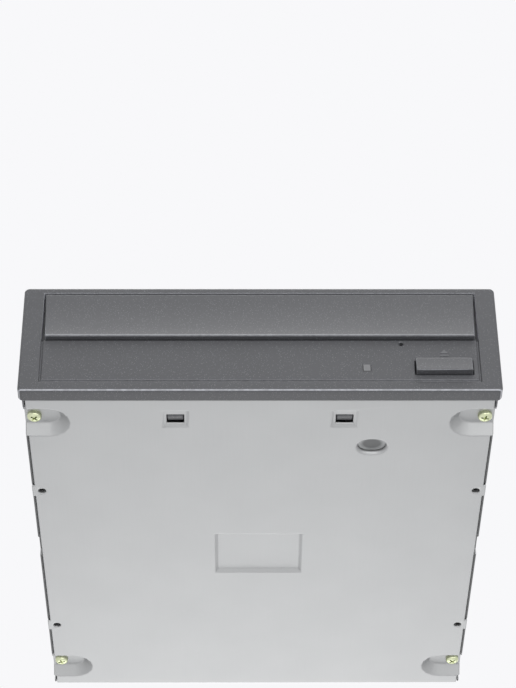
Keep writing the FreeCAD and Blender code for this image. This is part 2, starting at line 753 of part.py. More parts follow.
def bottom_cover():
    """Pressed steel underside with screw pockets, hook windows, motor port and chip pad."""
    cover = box(-PLATE_EDGE_X, PLATE_EDGE_X, FRONT_SEAM, BODY_D, 0, SHEET)
    rear = box(-PLATE_EDGE_X, PLATE_EDGE_X, BODY_D - SHEET, BODY_D, 0, REAR_WALL_H)
    tabs = [box(-BODY_HALF, BODY_HALF, y - TAB_HALF, y + TAB_HALF, 0, SHEET) for y in HOLE_ROWS]
    tabs += [box(-BODY_HALF, BODY_HALF, y - POCKET_HALF, y + POCKET_HALF, 0, SHEET) for y in SCREW_ROWS]
    flanges = []
    stops = (SCREW_ROWS[0] + POCKET_HALF, HOLE_ROWS[0] - TAB_HALF, HOLE_ROWS[0] + TAB_HALF,
             HOLE_ROWS[1] - TAB_HALF, HOLE_ROWS[1] + TAB_HALF, SCREW_ROWS[1] - POCKET_HALF)
    for start, end in zip(stops[0::2], stops[1::2]):
        wall = box(PLATE_EDGE_X - SHEET, PLATE_EDGE_X, start + SHEET, end - SHEET, 0, SHEET + FLANGE_H)
        flanges += both_sides(wall)
    cover = join(cover, rear, *tabs, *flanges)
    inside = box(-BODY_HALF, BODY_HALF, 0, BODY_D, -OVER, BODY_H)
    for y in SCREW_ROWS:
        for side in (1, -1):
            raised = pocket_form(side, y)
            raised.translate(V(0, 0, SHEET))
            cover = carve(join(cover, raised.common(inside)), pocket_form(side, y))
    for side in (1, -1):
        x = side * HOOK_X
        inset = RECESS_HALF - RECESS_SLOPE
        rim = box_points(x - RECESS_HALF, x + RECESS_HALF, RECESS_Y - RECESS_HALF, RECESS_Y + RECESS_HALF)
        floor = box_points(x - inset, x + inset, RECESS_Y - inset, RECESS_Y + inset)
        form = draft(rim, 0, floor, RECESS_DEPTH)
        cover = press(cover, form, SHEET)
    port_ends = (MOTOR_X - PORT_STRAIGHT / 2, MOTOR_X + PORT_STRAIGHT / 2, MOTOR_Y)
    port_in = PORT_HALF - PORT_SLOPE
    port = draft(slot_points(*port_ends, PORT_HALF), 0, slot_points(*port_ends, port_in), PORT_DEPTH)
    cover = press(cover, port, SHEET)
    pad_in = PAD_HALF_X - PAD_SLOPE
    pad = draft(box_points(-PAD_HALF_X, PAD_HALF_X, PAD_Y, PAD_Y + PAD_L), 0,
                box_points(-pad_in, pad_in, PAD_Y + PAD_SLOPE, PAD_Y + PAD_L - PAD_SLOPE), PAD_EMBOSS)
    cover = press(cover, pad, SHEET)
    collars = [prism(side * BOTTOM_HOLE_X, y, HOLE_R + COLLAR_WALL, HOLE_SIDES, SHEET, SHEET + COLLAR_H)
               for side in (1, -1) for y in HOLE_ROWS]
    cover = join(cover, *collars)
    holes = [disc(side * BOTTOM_HOLE_X, y, HOLE_R, -OVER, SHEET + COLLAR_H + OVER)
             for side in (1, -1) for y in HOLE_ROWS]
    screw_r = SCREW_SHANK_R + SCREW_FIT
    holes += [prism(side * COVER_SCREW_X, y, screw_r, HEAD_SIDES, 0, POCKET_DEPTH + SHEET + OVER)
              for side in (1, -1) for y in SCREW_ROWS]
    window_x = HOOK_W / 2 + HOOK_PLAY
    window_y = HOOK_L / 2 + HOOK_PLAY
    for side in (1, -1):
        x = side * HOOK_X
        holes.append(box(x - window_x, x + window_x, HOOK_Y - window_y, HOOK_Y + window_y, 0,
                         RECESS_DEPTH + SHEET + OVER))
    holes.append(slot(*port_ends, port_in, 0, PORT_DEPTH + SHEET + OVER))
    plug = PLUG_W / 2 + NOTCH_PLAY
    holes.append(box(PLUG_X - plug, PLUG_X + plug, BODY_D - SHEET - OVER, BODY_D + OVER, BOARD_Z - NOTCH_PLAY,
                     REAR_WALL_H + OVER))
    return carve(cover, *holes)


def top_cover():
    """Steel lid folded down at both sides and the rear, with pressed beads over the disc."""
    lid = box(-BODY_HALF, BODY_HALF, 0, BODY_D, WALL_LOW, BODY_H)
    bends = [e for e in lid.Edges if abs(e.CenterOfMass.z - BODY_H) < 0.01 and e.CenterOfMass.y > 1]
    lid = lid.makeFillet(BEND_R, bends)
    lid = carve(lid, box(-SIDE_IN, SIDE_IN, -OVER, BODY_D - SHEET, -OVER, COVER_IN_Z),
                box(-SIDE_IN, SIDE_IN, BODY_D - SHEET - OVER, BODY_D + OVER, -OVER, REAR_WALL_H + NOTCH_PLAY))
    depth = TOP_ROOM / 3
    panels = [(-PANEL_HALF, PANEL_HALF, DISC_Y - PANEL_HALF, DISC_Y + PANEL_HALF)]
    panels += [(x - BEAD_HALF, x + BEAD_HALF, SCREW_ROWS[0] + BEAD_END, SCREW_ROWS[1] - BEAD_END)
               for x in (BEAD_X, -BEAD_X)]
    for x0, x1, y0, y1 in panels:
        floor = box_points(x0 + depth, x1 - depth, y0 + depth, y1 - depth)
        lid = press(lid, draft(box_points(x0, x1, y0, y1), BODY_H, floor, BODY_H - depth), -SHEET)
    holes = []
    collars = []
    for y in HOLE_ROWS:
        for z in (SIDE_HOLE_LOW, SIDE_HOLE_HIGH):
            collar = prism(-z, y, HOLE_R + COLLAR_WALL, HOLE_SIDES, SIDE_IN - COLLAR_H, SIDE_IN)
            collar.rotate(V(0, 0, 0), V(0, 1, 0), 90)
            collars += both_sides(collar)
            holes += both_sides(rod_x(y, z, HOLE_R, SIDE_IN - COLLAR_H - OVER, BODY_HALF + OVER))
    pocket_half = POCKET_HALF + NOTCH_PLAY
    pocket_top = SHEET + POCKET_DEPTH + NOTCH_PLAY
    tab = TAB_HALF + NOTCH_PLAY
    notches = [(-OVER, SCREW_ROWS[0] + pocket_half, 0, pocket_top),
               (SCREW_ROWS[1] - pocket_half, BODY_D - SHEET - OVER, 0, pocket_top),
               (HOLE_FIRST + STEP_START, HOLE_FIRST + STEP_START + STEP_L, 0, STEP_H),
               (CLIP_END - CLIP_TOOTH - NOTCH_PLAY, CLIP_END + NOTCH_PLAY, CLIP_LOW - NOTCH_PLAY,
                CLIP_LOW + CLIP_H + NOTCH_PLAY)]
    notches += [(y - tab, y + tab, 0, SHEET + NOTCH_PLAY) for y in HOLE_ROWS]
    for y0, y1, z0, z1 in notches:
        holes += both_sides(box(SIDE_IN - PLATE_GAP, BODY_HALF + OVER, y0, y1, z0, z1))
    return carve(join(lid, *collars), *holes)


def front_bezel():
    """Moulded front with the tray opening, button and light openings, and snap hooks."""
    half = BODY_HALF + BEZEL_EDGE
    low = -BEZEL_LOW
    high = BODY_H + BEZEL_LOW
    face = box(-half, half, -BEZEL_D, 0, low, high)
    face = face.makeFillet(BEZEL_CORNER, [e for e in face.Edges if abs(e.tangentAt(0).y) > 0.9])
    rim = [e for e in face.Edges if abs(e.CenterOfMass.y + BEZEL_D) < 0.01]
    face = face.makeChamfer(BEZEL_ROUND, rim)
    inner = half - BEZEL_SKIN
    slot_low = DOOR_Z - DOOR_GAP
    slot_high = DOOR_TOP + DOOR_GAP
    opening = SLOT_HALF_W - LEDGE
    panel_top = slot_low - BEZEL_SKIN
    front = -BEZEL_D - OVER
    rear = BEZEL_WALL - BEZEL_D
    cuts = [box(-inner, inner, rear, OVER, low + BEZEL_SKIN, panel_top),
            box(-SLOT_HALF_W, SLOT_HALF_W, front, LEDGE_Y, slot_low, slot_high),
            box(-opening, opening, front, OVER, slot_low + LEDGE / 2, RIM_Z + LEDGE),
            box(-inner, inner, -BEZEL_RELIEF, OVER, RIM_Z + LEDGE + BEZEL_RIB, high - BEZEL_SKIN)]
    groove_low = low + PANEL_LOW
    groove = box(-SLOT_HALF_W, SLOT_HALF_W, front, GROOVE_DEPTH - BEZEL_D, groove_low, slot_low)
    island_half = SLOT_HALF_W - GROOVE_W
    island = box(-island_half, island_half, front, 0, groove_low + GROOVE_W, slot_low + OVER)
    cuts.append(groove.cut(island))
    bw = BUTTON_W / 2 + BUTTON_GAP
    button_open = box(BUTTON_X - bw, BUTTON_X + bw, front, 0, BUTTON_LOW - BUTTON_GAP,
                      BUTTON_LOW + BUTTON_H + BUTTON_GAP)
    corners = [e for e in button_open.Edges if abs(e.tangentAt(0).y) > 0.9 and e.CenterOfMass.z > BUTTON_Z]
    cuts.append(button_open.makeFillet(BUTTON_CORNER + BUTTON_GAP, corners))
    lw = LIGHT_W / 2 + LIGHT_FIT
    lh = LIGHT_H / 2 + LIGHT_FIT
    cuts.append(box(LIGHT_X - lw, LIGHT_X + lw, front, 0, LIGHT_Z - lh, LIGHT_Z + lh))
    hole_z = DOOR_Z - PIN_HOLE_DROP
    cuts.append(bar_y(PIN_HOLE_X, hole_z, PIN_HOLE_R, SMALL_SIDES, front, OVER))
    face = carve(face, *cuts)
    ribs = []
    for i in BEZEL_RIBS:
        left = i * BEZEL_RIB_PITCH - BEZEL_RIB / 2
        ribs.append(box(left, left + BEZEL_RIB, rear, -BEZEL_RIB / 2, low + BEZEL_SKIN, panel_top))
    hook_z = SHEET + RECESS_DEPTH
    catch_z = hook_z - HOOK_CATCH
    root = HOOK_Y - HOOK_L / 2
    tip = HOOK_Y + HOOK_L / 2
    arm = [(rear, hook_z + HOOK_ARM), (rear, hook_z), (root, hook_z), (root, catch_z),
           (root + HOOK_LAND, catch_z), (tip, hook_z + HOOK_TIP), (tip, hook_z + HOOK_ARM)]
    hooks = both_sides(profile_x(HOOK_X - HOOK_W / 2, HOOK_X + HOOK_W / 2, arm))
    clip_out = SIDE_IN - NOTCH_PLAY
    clip = box(clip_out - CLIP_T, clip_out, rear, CLIP_END, CLIP_LOW, CLIP_LOW + CLIP_H)
    tooth = box(clip_out, BODY_HALF - LUG_GAP, CLIP_END - CLIP_TOOTH, CLIP_END, CLIP_LOW, CLIP_LOW + CLIP_H)
    hooks += both_sides(join(clip, tooth))
    lug_end = SCREW_FRONT - POCKET_HALF - NOTCH_PLAY
    lug_top = POCKET_DEPTH + LUG_RISE
    hooks += both_sides(box(SIDE_IN + LUG_GAP, BODY_HALF, -LUG_RISE, lug_end, LUG_LOW, lug_top))
    return join(face, *ribs, *hooks)


def cover_screws():
    """Screws from below, in the four corner pockets, into the frame's columns."""
    sizes = (SCREW_HEAD_R, SCREW_HEAD_H, SCREW_SHANK_R, SCREW_L, SMALL_SIDES)
    return [screw(side * COVER_SCREW_X, y, POCKET_DEPTH, 1, *sizes) for side in (1, -1) for y in SCREW_ROWS]


# Tray
def tray_door():
    """Front panel of the tray, flush at the top and swept out to a lip along its lower edge."""
    face_y = -BEZEL_D
    back_y = face_y + DOOR_T
    x = -DOOR_HALF
    arc = 1 - math.sqrt(0.5)
    lip_y = face_y - DOOR_LIP
    low_back = V(x, back_y, DOOR_Z)
    low_front = V(x, lip_y + DOOR_LIP_R, DOOR_Z)
    lip_middle = V(x, lip_y + arc * DOOR_LIP_R, DOOR_Z + arc * DOOR_LIP_R)
    lip = V(x, lip_y, DOOR_Z + DOOR_LIP_R)
    flare = V(x, lip_y + DOOR_FLARE_OUT, lip.z + DOOR_FLARE)
    middle = V(x, face_y - DOOR_BOW, (DOOR_Z + DOOR_TOP) / 2)
    top = V(x, face_y, DOOR_TOP - DOOR_TOP_R)
    top_middle = V(x, face_y + arc * DOOR_TOP_R, DOOR_TOP - arc * DOOR_TOP_R)
    high_front = V(x, face_y + DOOR_TOP_R, DOOR_TOP)
    high_back = V(x, back_y, DOOR_TOP)
    edges = [Part.makeLine(low_back, low_front), Part.Arc(low_front, lip_middle, lip).toShape(),
             Part.makeLine(lip, flare), Part.Arc(flare, middle, top).toShape(),
             Part.Arc(top, top_middle, high_front).toShape(), Part.makeLine(high_front, high_back),
             Part.makeLine(high_back, low_back)]
    door = Part.Face(Part.Wire(edges)).extrude(V(2 * DOOR_HALF, 0, 0))
    low_half = DOOR_HALF - DOOR_TAPER
    sides = [V(-DOOR_HALF, lip_y, DOOR_TOP), V(DOOR_HALF, lip_y, DOOR_TOP), V(low_half, lip_y, DOOR_Z),
             V(-low_half, lip_y, DOOR_Z)]
    outline = Part.Face(Part.makePolygon(sides + sides[:1])).extrude(V(0, back_y - lip_y, 0))
    door = single(door.common(outline))
    high = TRAY_Z - DOOR_HOOK_DROP
    low = high - DOOR_HOOK_T
    barb = APRON_T - TRAY_NOSE + DOOR_BARB_GAP
    end = barb + DOOR_BARB_L
    arm = [(back_y, low), (end, low), (end, high + DOOR_BARB), (barb, high + DOOR_BARB), (barb, high),
           (back_y, high)]
    hooks = [profile_x(x - DOOR_HOOK_HALF, x + DOOR_HOOK_HALF, arm) for x in (-DOOR_HOOK_X, 0, DOOR_HOOK_X)]
    return join(door, *hooks)


def rack():
    """Straight toothed rib under the tray, facing the drive gear."""
    pitch = math.pi * RACK_MODULE
    half = (pitch / 2 - BACKLASH) / 2
    slope = math.tan(PRESSURE) * RACK_MODULE
    root_x = RACK_X - DEDENDUM * RACK_MODULE
    tip_x = RACK_X + ADDENDUM * RACK_MODULE
    first = -int((DRIVE_Y - DECK_FRONT) / pitch)
    last = int((TRAY_END - DRIVE_Y) / pitch) - 1
    start = DRIVE_Y + (first - 0.5) * pitch
    points = [(root_x - RACK_WALL, start), (root_x, start)]
    root_half = half + slope * DEDENDUM
    tip_half = half - slope * ADDENDUM
    tooth = ((root_x, -root_half), (tip_x, -tip_half), (tip_x, tip_half), (root_x, root_half))
    for i in range(first, last + 1):
        points += [(x, DRIVE_Y + i * pitch + dy) for x, dy in tooth]
    end = DRIVE_Y + (last + 0.5) * pitch
    points += [(root_x, end), (root_x - RACK_WALL, end)]
    return upright(points, RACK_Z, TRAY_Z)


def disc_tray():
    """Moulded tray with two disc wells, an open window to the rear, finger scoops, ribs and a rack."""
    body = rounded(-TRAY_HALF, TRAY_HALF, -TRAY_NOSE, TRAY_END, TRAY_CORNER, TRAY_Z, RIM_Z)
    roof = RIM_Z + OVER
    well_r = DISC_D / 2 + WELL_FIT
    outer = TRAY_HALF - TRAY_WALL
    inner = WINDOW_HALF + TRAY_WALL
    scoop = wheel(DISC_D / 2 - SCOOP_IN, DISC_Y, SCOOP_R, WELL_Z, roof)
    scoop = scoop.common(box(0, outer, 0, TRAY_END, 0, BODY_H))
    tail = box(inner, outer, DISC_Y + DISC_D / 2 + TAIL_GAP, TRAY_END - TRAY_WALL, SEAT_Z, roof)
    hollow = box(HOLLOW_X, outer, TRAY_WALL, DISC_Y - HOLLOW_END, TRAY_Z - OVER, RIM_Z - HOLLOW_SKIN)
    hollow = hollow.cut(disc(0, DISC_Y, well_r + HOLLOW_WALL, 0, BODY_H))
    cuts = [disc(0, DISC_Y, well_r, SEAT_Z, roof), disc(0, DISC_Y, MINI_DISC_D / 2 + WELL_FIT, WELL_Z, roof),
            wheel(0, DISC_Y, WINDOW_HALF, TRAY_Z - OVER, roof),
            box(-WINDOW_HALF, WINDOW_HALF, DISC_Y, TRAY_END + OVER, TRAY_Z - OVER, roof)]
    for form in (scoop, tail, hollow):
        cuts += both_sides(form)
    apron_half = DOOR_HALF - APRON_IN
    apron = box(-apron_half, apron_half, -TRAY_NOSE, APRON_T - TRAY_NOSE, TRAY_Z - APRON_H, TRAY_Z)
    slot_half = DOOR_HOOK_HALF + DOOR_HOOK_FIT
    slot_top = TRAY_Z - DOOR_HOOK_DROP + DOOR_HOOK_FIT
    slot_low = slot_top - DOOR_HOOK_T - 2 * DOOR_HOOK_FIT
    slot_end = APRON_T - TRAY_NOSE + DOOR_BARB_GAP
    slots = [box(x - slot_half, x + slot_half, -TRAY_NOSE - OVER, slot_end, slot_low, slot_top)
             for x in (-DOOR_HOOK_X, 0, DOOR_HOOK_X)]
    return carve(join(carve(body, *cuts), apron, rack()), *slots)


# Button, light and front board
def eject_button():
    """Wedge-faced push button with a stop flange and a stem to its switch."""
    face_y = -BEZEL_D
    x0 = BUTTON_X - BUTTON_W / 2
    x1 = BUTTON_X + BUTTON_W / 2
    top_z = BUTTON_LOW + BUTTON_H
    back = BEZEL_WALL - BEZEL_D + BUTTON_STOP
    low_front = V(x0, face_y - BUTTON_LIP + BUTTON_EDGE, BUTTON_LOW)
    lip = V(x0, face_y - BUTTON_LIP, BUTTON_LOW + BUTTON_EDGE)
    middle = V(x0, face_y - BUTTON_BOW, BUTTON_Z)
    top = V(x0, face_y - BUTTON_RISE, top_z)
    low_back = V(x0, back, BUTTON_LOW)
    high_back = V(x0, back, top_z)
    edges = [Part.makeLine(low_back, low_front), Part.makeLine(low_front, lip),
             Part.Arc(lip, middle, top).toShape(), Part.makeLine(top, high_back),
             Part.makeLine(high_back, low_back)]
    cap = Part.Face(Part.Wire(edges)).extrude(V(BUTTON_W, 0, 0))
    uprights = [e for e in cap.Edges if abs(e.tangentAt(0).y) > 0.9 and e.CenterOfMass.z > BUTTON_Z]
    cap = cap.makeFillet(BUTTON_CORNER, uprights)
    flange = box(x0 - BUTTON_FLANGE, x1 + BUTTON_FLANGE, back, back + BUTTON_FLANGE,
                 BUTTON_LOW - BUTTON_FLANGE, top_z + BUTTON_FLANGE)
    half = BUTTON_STEM / 2
    stem = box(BUTTON_X - half, BUTTON_X + half, back, PLUNGER_TIP, BUTTON_Z - half, BUTTON_Z + half)
    return join(cap, flange, stem)


def eject_switch():
    """Side-push switch on the front board."""
    y0 = SWITCH_Y
    body = box(BUTTON_X - SWITCH_W / 2, BUTTON_X + SWITCH_W / 2, y0, y0 + SWITCH_L, FRONT_BOARD_TOP,
               FRONT_BOARD_TOP + SWITCH_H)
    room = PLUNGER_R + PLUNGER_FIT
    return carve(body, box(BUTTON_X - room, BUTTON_X + room, y0, y0 + SWITCH_L - SWITCH_BACK, BUTTON_Z - room,
                           BUTTON_Z + room))


def switch_plunger():
    """Plunger that the button's stem pushes."""
    end = SWITCH_Y + SWITCH_L - SWITCH_BACK - BUTTON_TRAVEL - PLUNGER_FIT
    return box(BUTTON_X - PLUNGER_R, BUTTON_X + PLUNGER_R, PLUNGER_TIP, end, BUTTON_Z - PLUNGER_R,
               BUTTON_Z + PLUNGER_R)


def light_pipe():
    """Clear bar from the light to its window in the bezel."""
    back = BEZEL_WALL - BEZEL_D
    bar = box(LIGHT_X - LIGHT_W / 2, LIGHT_X + LIGHT_W / 2, -BEZEL_D, FRONT_BOARD_Y - LIGHT_GAP,
              LIGHT_Z - LIGHT_H / 2, LIGHT_Z + LIGHT_H / 2)
    flange = box(LIGHT_X - LIGHT_W, LIGHT_X + LIGHT_W, back, back + LIGHT_FLANGE, LIGHT_Z - LIGHT_H,
                 LIGHT_Z + LIGHT_H)
    return join(bar, flange)


def status_light():
    """Light-emitting diode facing the light pipe."""
    y0 = FRONT_BOARD_Y
    lens = DIODE_HALF - DIODE_LENS
    top = FRONT_BOARD_TOP + LIGHT_H
    low = FRONT_BOARD_TOP
    body = box(LIGHT_X - DIODE_HALF, LIGHT_X + DIODE_HALF, y0 + DIODE_LENS, y0 + DIODE_L, low, top)
    window = box(LIGHT_X - lens, LIGHT_X + lens, y0, y0 + DIODE_LENS, low + DIODE_LENS, top - DIODE_LENS)
    return join(body, window)


def front_board():
    """L-shaped board for the light, the eject switch and the loading motor's leads."""
    motor_side = MOTOR_X + MOTOR_R + BOARD_MARGIN
    wide = box(motor_side, WALL_IN - BOARD_MARGIN, FRONT_BOARD_Y, FRONT_BOARD_Y + FRONT_BOARD_L,
               FRONT_BOARD_Z, FRONT_BOARD_TOP)
    strip = box(LIGHT_X - 2 * DIODE_HALF, motor_side, FRONT_BOARD_Y, MOTOR_Y - MOTOR_FLAT - BOARD_MARGIN,
                FRONT_BOARD_Z, FRONT_BOARD_TOP)
    holes = [prism(x, y, CLEAR_R, HOLE_SIDES, 0, BODY_H) for x, y in front_board_bosses()]
    return carve(join(wide, strip), *holes)


def front_board_bosses():
    """Places where the front board is screwed to the deck."""
    return [(BUTTON_X + dx, FRONT_BOARD_Y + FRONT_BOSS_Y) for dx in FRONT_BOSS_X]


# Loader frame
def main_board_bosses():
    """Places where the main board is screwed to the frame."""
    rows = (BOARD_FRONT + BOARD_BOSS_FRONT, BOARD_BACK - BOARD_BOSS_REAR)
    return [(side * (BOARD_HALF - BOARD_BOSS_EDGE), y) for side in (1, -1) for y in rows]


def frame_side():
    """Right wall of the frame with its tray rail, lip, columns, ribs and board bosses."""
    pocket_top = SHEET + POCKET_DEPTH
    pocket_half = POCKET_HALF + NOTCH_PLAY
    root = SHEET + FLANGE_H + FLANGE_GAP
    bosses = main_board_bosses()[:2]
    wall = box(WALL_IN, WALL_OUT, FRAME_FRONT, FRAME_BACK, SHEET + WALL_FOOT, BRIDGE_Z)
    pockets = [box(0, BODY_HALF, y - pocket_half, y + pocket_half, 0, pocket_top) for y in SCREW_ROWS]
    wall = carve(wall, *pockets)
    rail_top = TRAY_Z - RAIL_PLAY
    parts = [box(WALL_IN - RAIL_W, WALL_IN, FRAME_FRONT, FRAME_BACK, rail_top - RAIL_T, rail_top),
             box(WALL_IN - LIP_W, WALL_IN, FRAME_FRONT, FRAME_BACK, LIP_Z, LIP_Z + LIP_T),
             box(WALL_OUT, COLUMN_OUT, DISC_Y - BRIDGE_HALF, DISC_Y + BRIDGE_HALF, TRAY_Z, BRIDGE_Z)]
    for y in SCREW_ROWS:
        parts.append(box(WALL_OUT, COLUMN_OUT, y - COLUMN_HALF, y + COLUMN_HALF, pocket_top, COVER_IN_Z))
    for step in RIB_STEPS:
        y = HOLE_FIRST + step
        parts.append(box(WALL_OUT, COLUMN_OUT, y - RIB_T / 2, y + RIB_T / 2, root, BRIDGE_Z))
    for x, y in bosses:
        parts.append(prism(x, y, BOSS_R, HEAD_SIDES, BOARD_TOP, BOARD_TOP + BOSS_H))
        parts.append(box(x, WALL_IN, y - RIB_T / 2, y + RIB_T / 2, root, BOARD_TOP + BOSS_H))
    tools = []
    for step in OPENING_STEPS:
        y = HOLE_FIRST + step
        tools.append(box(WALL_IN - OVER, WALL_OUT + OVER, y, y + OPENING_L, root, TRAY_Z - OPENING_DROP))
    tools += [prism(COVER_SCREW_X, y, COLUMN_BORE, HOLE_SIDES, 0, pocket_top + SCREW_L) for y in SCREW_ROWS]
    tools += [prism(x, y, PILOT_R, HOLE_SIDES, 0, BOARD_TOP + SMALL_GRIP + OVER) for x, y in bosses]
    pilot_low = BRIDGE_Z - SMALL_GRIP - OVER
    tools += [prism(x, y, PILOT_R, HOLE_SIDES, pilot_low, BRIDGE_Z + OVER)
              for x, y in bridge_screw_places() if x > 0]
    return carve(join(wall, *parts), *tools)


def loader_frame():
    """Moulded chassis: two side walls, gear deck, slider guides, pivot cradles and gear posts."""
    deck_back = SLIDER_Y - SLIDER_PLAY - GUIDE_T
    guide_end = LIFT_FRONT - LIFT_GAP / 2
    roof = SLIDER_TOP + SLIDER_PLAY
    floor = SLIDER_Z - SLIDER_PLAY
    deck = box(-WALL_IN, WALL_IN, DECK_FRONT, deck_back, DECK_Z, DECK_TOP)
    guide = box(-WALL_IN, WALL_IN, deck_back, deck_back + GUIDE_T, DECK_Z, roof + GUIDE_T)
    over = box(-LIFT_HALF, LIFT_HALF, deck_back, guide_end, roof, roof + GUIDE_T)
    under = box(-WALL_IN, WALL_IN, deck_back, guide_end, floor - GUIDE_T, floor)
    posts = [disc(DRIVE_X, DRIVE_Y, POST_R, DECK_Z, TRAY_Z - TRAY_GAP),
             prism(DRIVE_X, DRIVE_Y, POST_COLLAR, HEAD_SIDES, DECK_Z, GEAR_Z - COLLAR_PLAY),
             disc(BELT_GEAR_X, DRIVE_Y, POST_R, DECK_Z, GEAR_Z + GEAR_T + POST_TIP),
             prism(BELT_GEAR_X, DRIVE_Y, POST_COLLAR, HEAD_SIDES, DECK_Z, PULLEY_Z - COLLAR_PLAY)]
    posts += [prism(x, y, BOSS_R, HEAD_SIDES, FRONT_BOARD_TOP, DECK_Z) for x, y in front_board_bosses()]
    bar_front = LIFT_BACK + REAR_BAR_GAP
    bar = box(-WALL_IN, WALL_IN, bar_front, FRAME_BACK, LIFT_Z - REAR_BAR_LOW, LIFT_Z + REAR_BAR_HIGH)
    cradle_x = LIFT_HALF + CRADLE_GAP
    reach = PIVOT_R + CRADLE_WALL
    cradle = box(cradle_x, cradle_x + CRADLE_T, PIVOT_Y - reach, bar_front, LIFT_Z - reach, LIFT_Z + reach)
    frame = join(deck, guide, over, under, bar, *both_sides(frame_side()), *posts, *both_sides(cradle))
    seat = PIVOT_R + RUN_FIT
    tools = both_sides(box(cradle_x - OVER, cradle_x + CRADLE_T + OVER, PIVOT_Y - seat, PIVOT_Y + seat,
                           LIFT_Z - seat, BODY_H))
    low = DECK_Z - OVER
    high = DECK_TOP + OVER
    tools.append(prism(MOTOR_X, MOTOR_Y, MOTOR_BOSS_R + MOTOR_BOSS_FIT, SMALL_SIDES, low, high))
    tools += [prism(x, y, PILOT_R, HOLE_SIDES, low, high) for x, y in motor_screw_places()]
    tools += [prism(x, y, PILOT_R, HOLE_SIDES, 0, low) for x, y in front_board_bosses()]
    return carve(frame, *tools)


def clamp_bridge():
    """Steel strap over the tray that carries the clamper."""
    top = BRIDGE_Z + BRIDGE_T
    strap = box(-COLUMN_OUT, COLUMN_OUT, DISC_Y - BRIDGE_HALF, DISC_Y + BRIDGE_HALF, BRIDGE_Z, top)
    eye = wheel(0, DISC_Y, NECK_R + NECK_GAP + EYE_WALL, BRIDGE_Z, top)
    holes = [prism(x, y, CLEAR_R, HOLE_SIDES, 0, BODY_H) for x, y in bridge_screw_places()]
    return carve(join(strap, eye), wheel(0, DISC_Y, NECK_R + NECK_GAP, 0, BODY_H), *holes)


def bridge_screw_places():
    """Two screws at each end of the bridge."""
    x = (WALL_OUT + COLUMN_OUT) / 2
    return [(side * x, DISC_Y + dy) for side in (1, -1) for dy in (-BRIDGE_HALF / 2, BRIDGE_HALF / 2)]


def bridge_screws():
    """Screws that hold the bridge down on the frame."""
    top = BRIDGE_Z + BRIDGE_T
    return [small_screw(x, y, top, -1, BRIDGE_T + SMALL_GRIP) for x, y in bridge_screw_places()]


# Loading drive
def motor_screw_places():
    """Two screws through the deck into the loading motor."""
    return [(MOTOR_X + side * MOTOR_SCREW_X, MOTOR_Y) for side in (-1, 1)]


def loading_motor():
    """Small flat-sided motor hung under the deck."""
    can = wheel(MOTOR_X, MOTOR_Y, MOTOR_R, SHEET + MOTOR_FOOT, DECK_Z)
    flats = box(MOTOR_X - MOTOR_R, MOTOR_X + MOTOR_R, MOTOR_Y - MOTOR_FLAT, MOTOR_Y + MOTOR_FLAT, 0, BODY_H)
    boss = prism(MOTOR_X, MOTOR_Y, MOTOR_BOSS_R, SMALL_SIDES, DECK_Z, DECK_TOP)
    thread = DECK_Z - MOTOR_GRIP - NOTCH_PLAY
    holes = [prism(x, y, PILOT_R, HOLE_SIDES, thread, DECK_Z + OVER) for x, y in motor_screw_places()]
    shaft_low = DECK_Z - MOTOR_SHAFT_IN - NOTCH_PLAY
    holes.append(bore(MOTOR_X, MOTOR_Y, MOTOR_SHAFT_R + RUN_FIT, shaft_low, DECK_TOP + OVER))
    return carve(join(single(can.common(flats)), boss), *holes)


def motor_screws():
    """Screws that hang the loading motor on the deck."""
    return [small_screw(x, y, DECK_TOP, -1, DECK_T + MOTOR_GRIP) for x, y in motor_screw_places()]


def pulley(x, y, belt_r, shaft_r, sides):
    """Flanged belt pulley."""
    rim = belt_r + PULLEY_FLANGE
    low = BELT_Z - BELT_FIT
    high = BELT_Z + BELT_T + BELT_FIT
    drum = join(prism(x, y, rim, sides, PULLEY_Z, low), prism(x, y, belt_r - BELT_FIT, sides, low, high),
                prism(x, y, rim, sides, high, PULLEY_Z + PULLEY_T))
    return carve(drum, bore(x, y, shaft_r, PULLEY_Z - OVER, PULLEY_Z + PULLEY_T + OVER))


def motor_shaft():
    """Shaft that turns in the motor's boss."""
    return disc(MOTOR_X, MOTOR_Y, MOTOR_SHAFT_R, DECK_Z - MOTOR_SHAFT_IN, PULLEY_Z + PULLEY_T + POST_TIP)


def motor_pulley():
    """Small pulley pressed on the motor's shaft."""
    return pulley(MOTOR_X, MOTOR_Y, MOTOR_PULLEY_R, MOTOR_SHAFT_R, SMALL_SIDES)


def drive_belt():
    """Square rubber belt round both pulleys."""
    span = math.hypot(BELT_GEAR_X - MOTOR_X, DRIVE_Y - MOTOR_Y)
    heading = math.atan2(DRIVE_Y - MOTOR_Y, BELT_GEAR_X - MOTOR_X)
    lean = math.acos((MOTOR_PULLEY_R - BELT_PULLEY_R) / span)
    ends = ((MOTOR_X, MOTOR_Y, MOTOR_PULLEY_R, heading + lean, 2 * math.pi - 2 * lean),
            (BELT_GEAR_X, DRIVE_Y, BELT_PULLEY_R, heading - lean, 2 * lean))

    def loop(grow):
        points = []
        for x, y, r, start, wrap in ends:
            step = wrap / SMALL_SIDES
            reach = (r + grow) / math.cos(step / 2)
            turns = [start + step * (i + 0.5) for i in range(SMALL_SIDES)]
            points += [(x + reach * math.cos(a), y + reach * math.sin(a)) for a in turns]
        return upright(points, BELT_Z, BELT_Z + BELT_T)

    return carve(loop(BELT_T), loop(0))


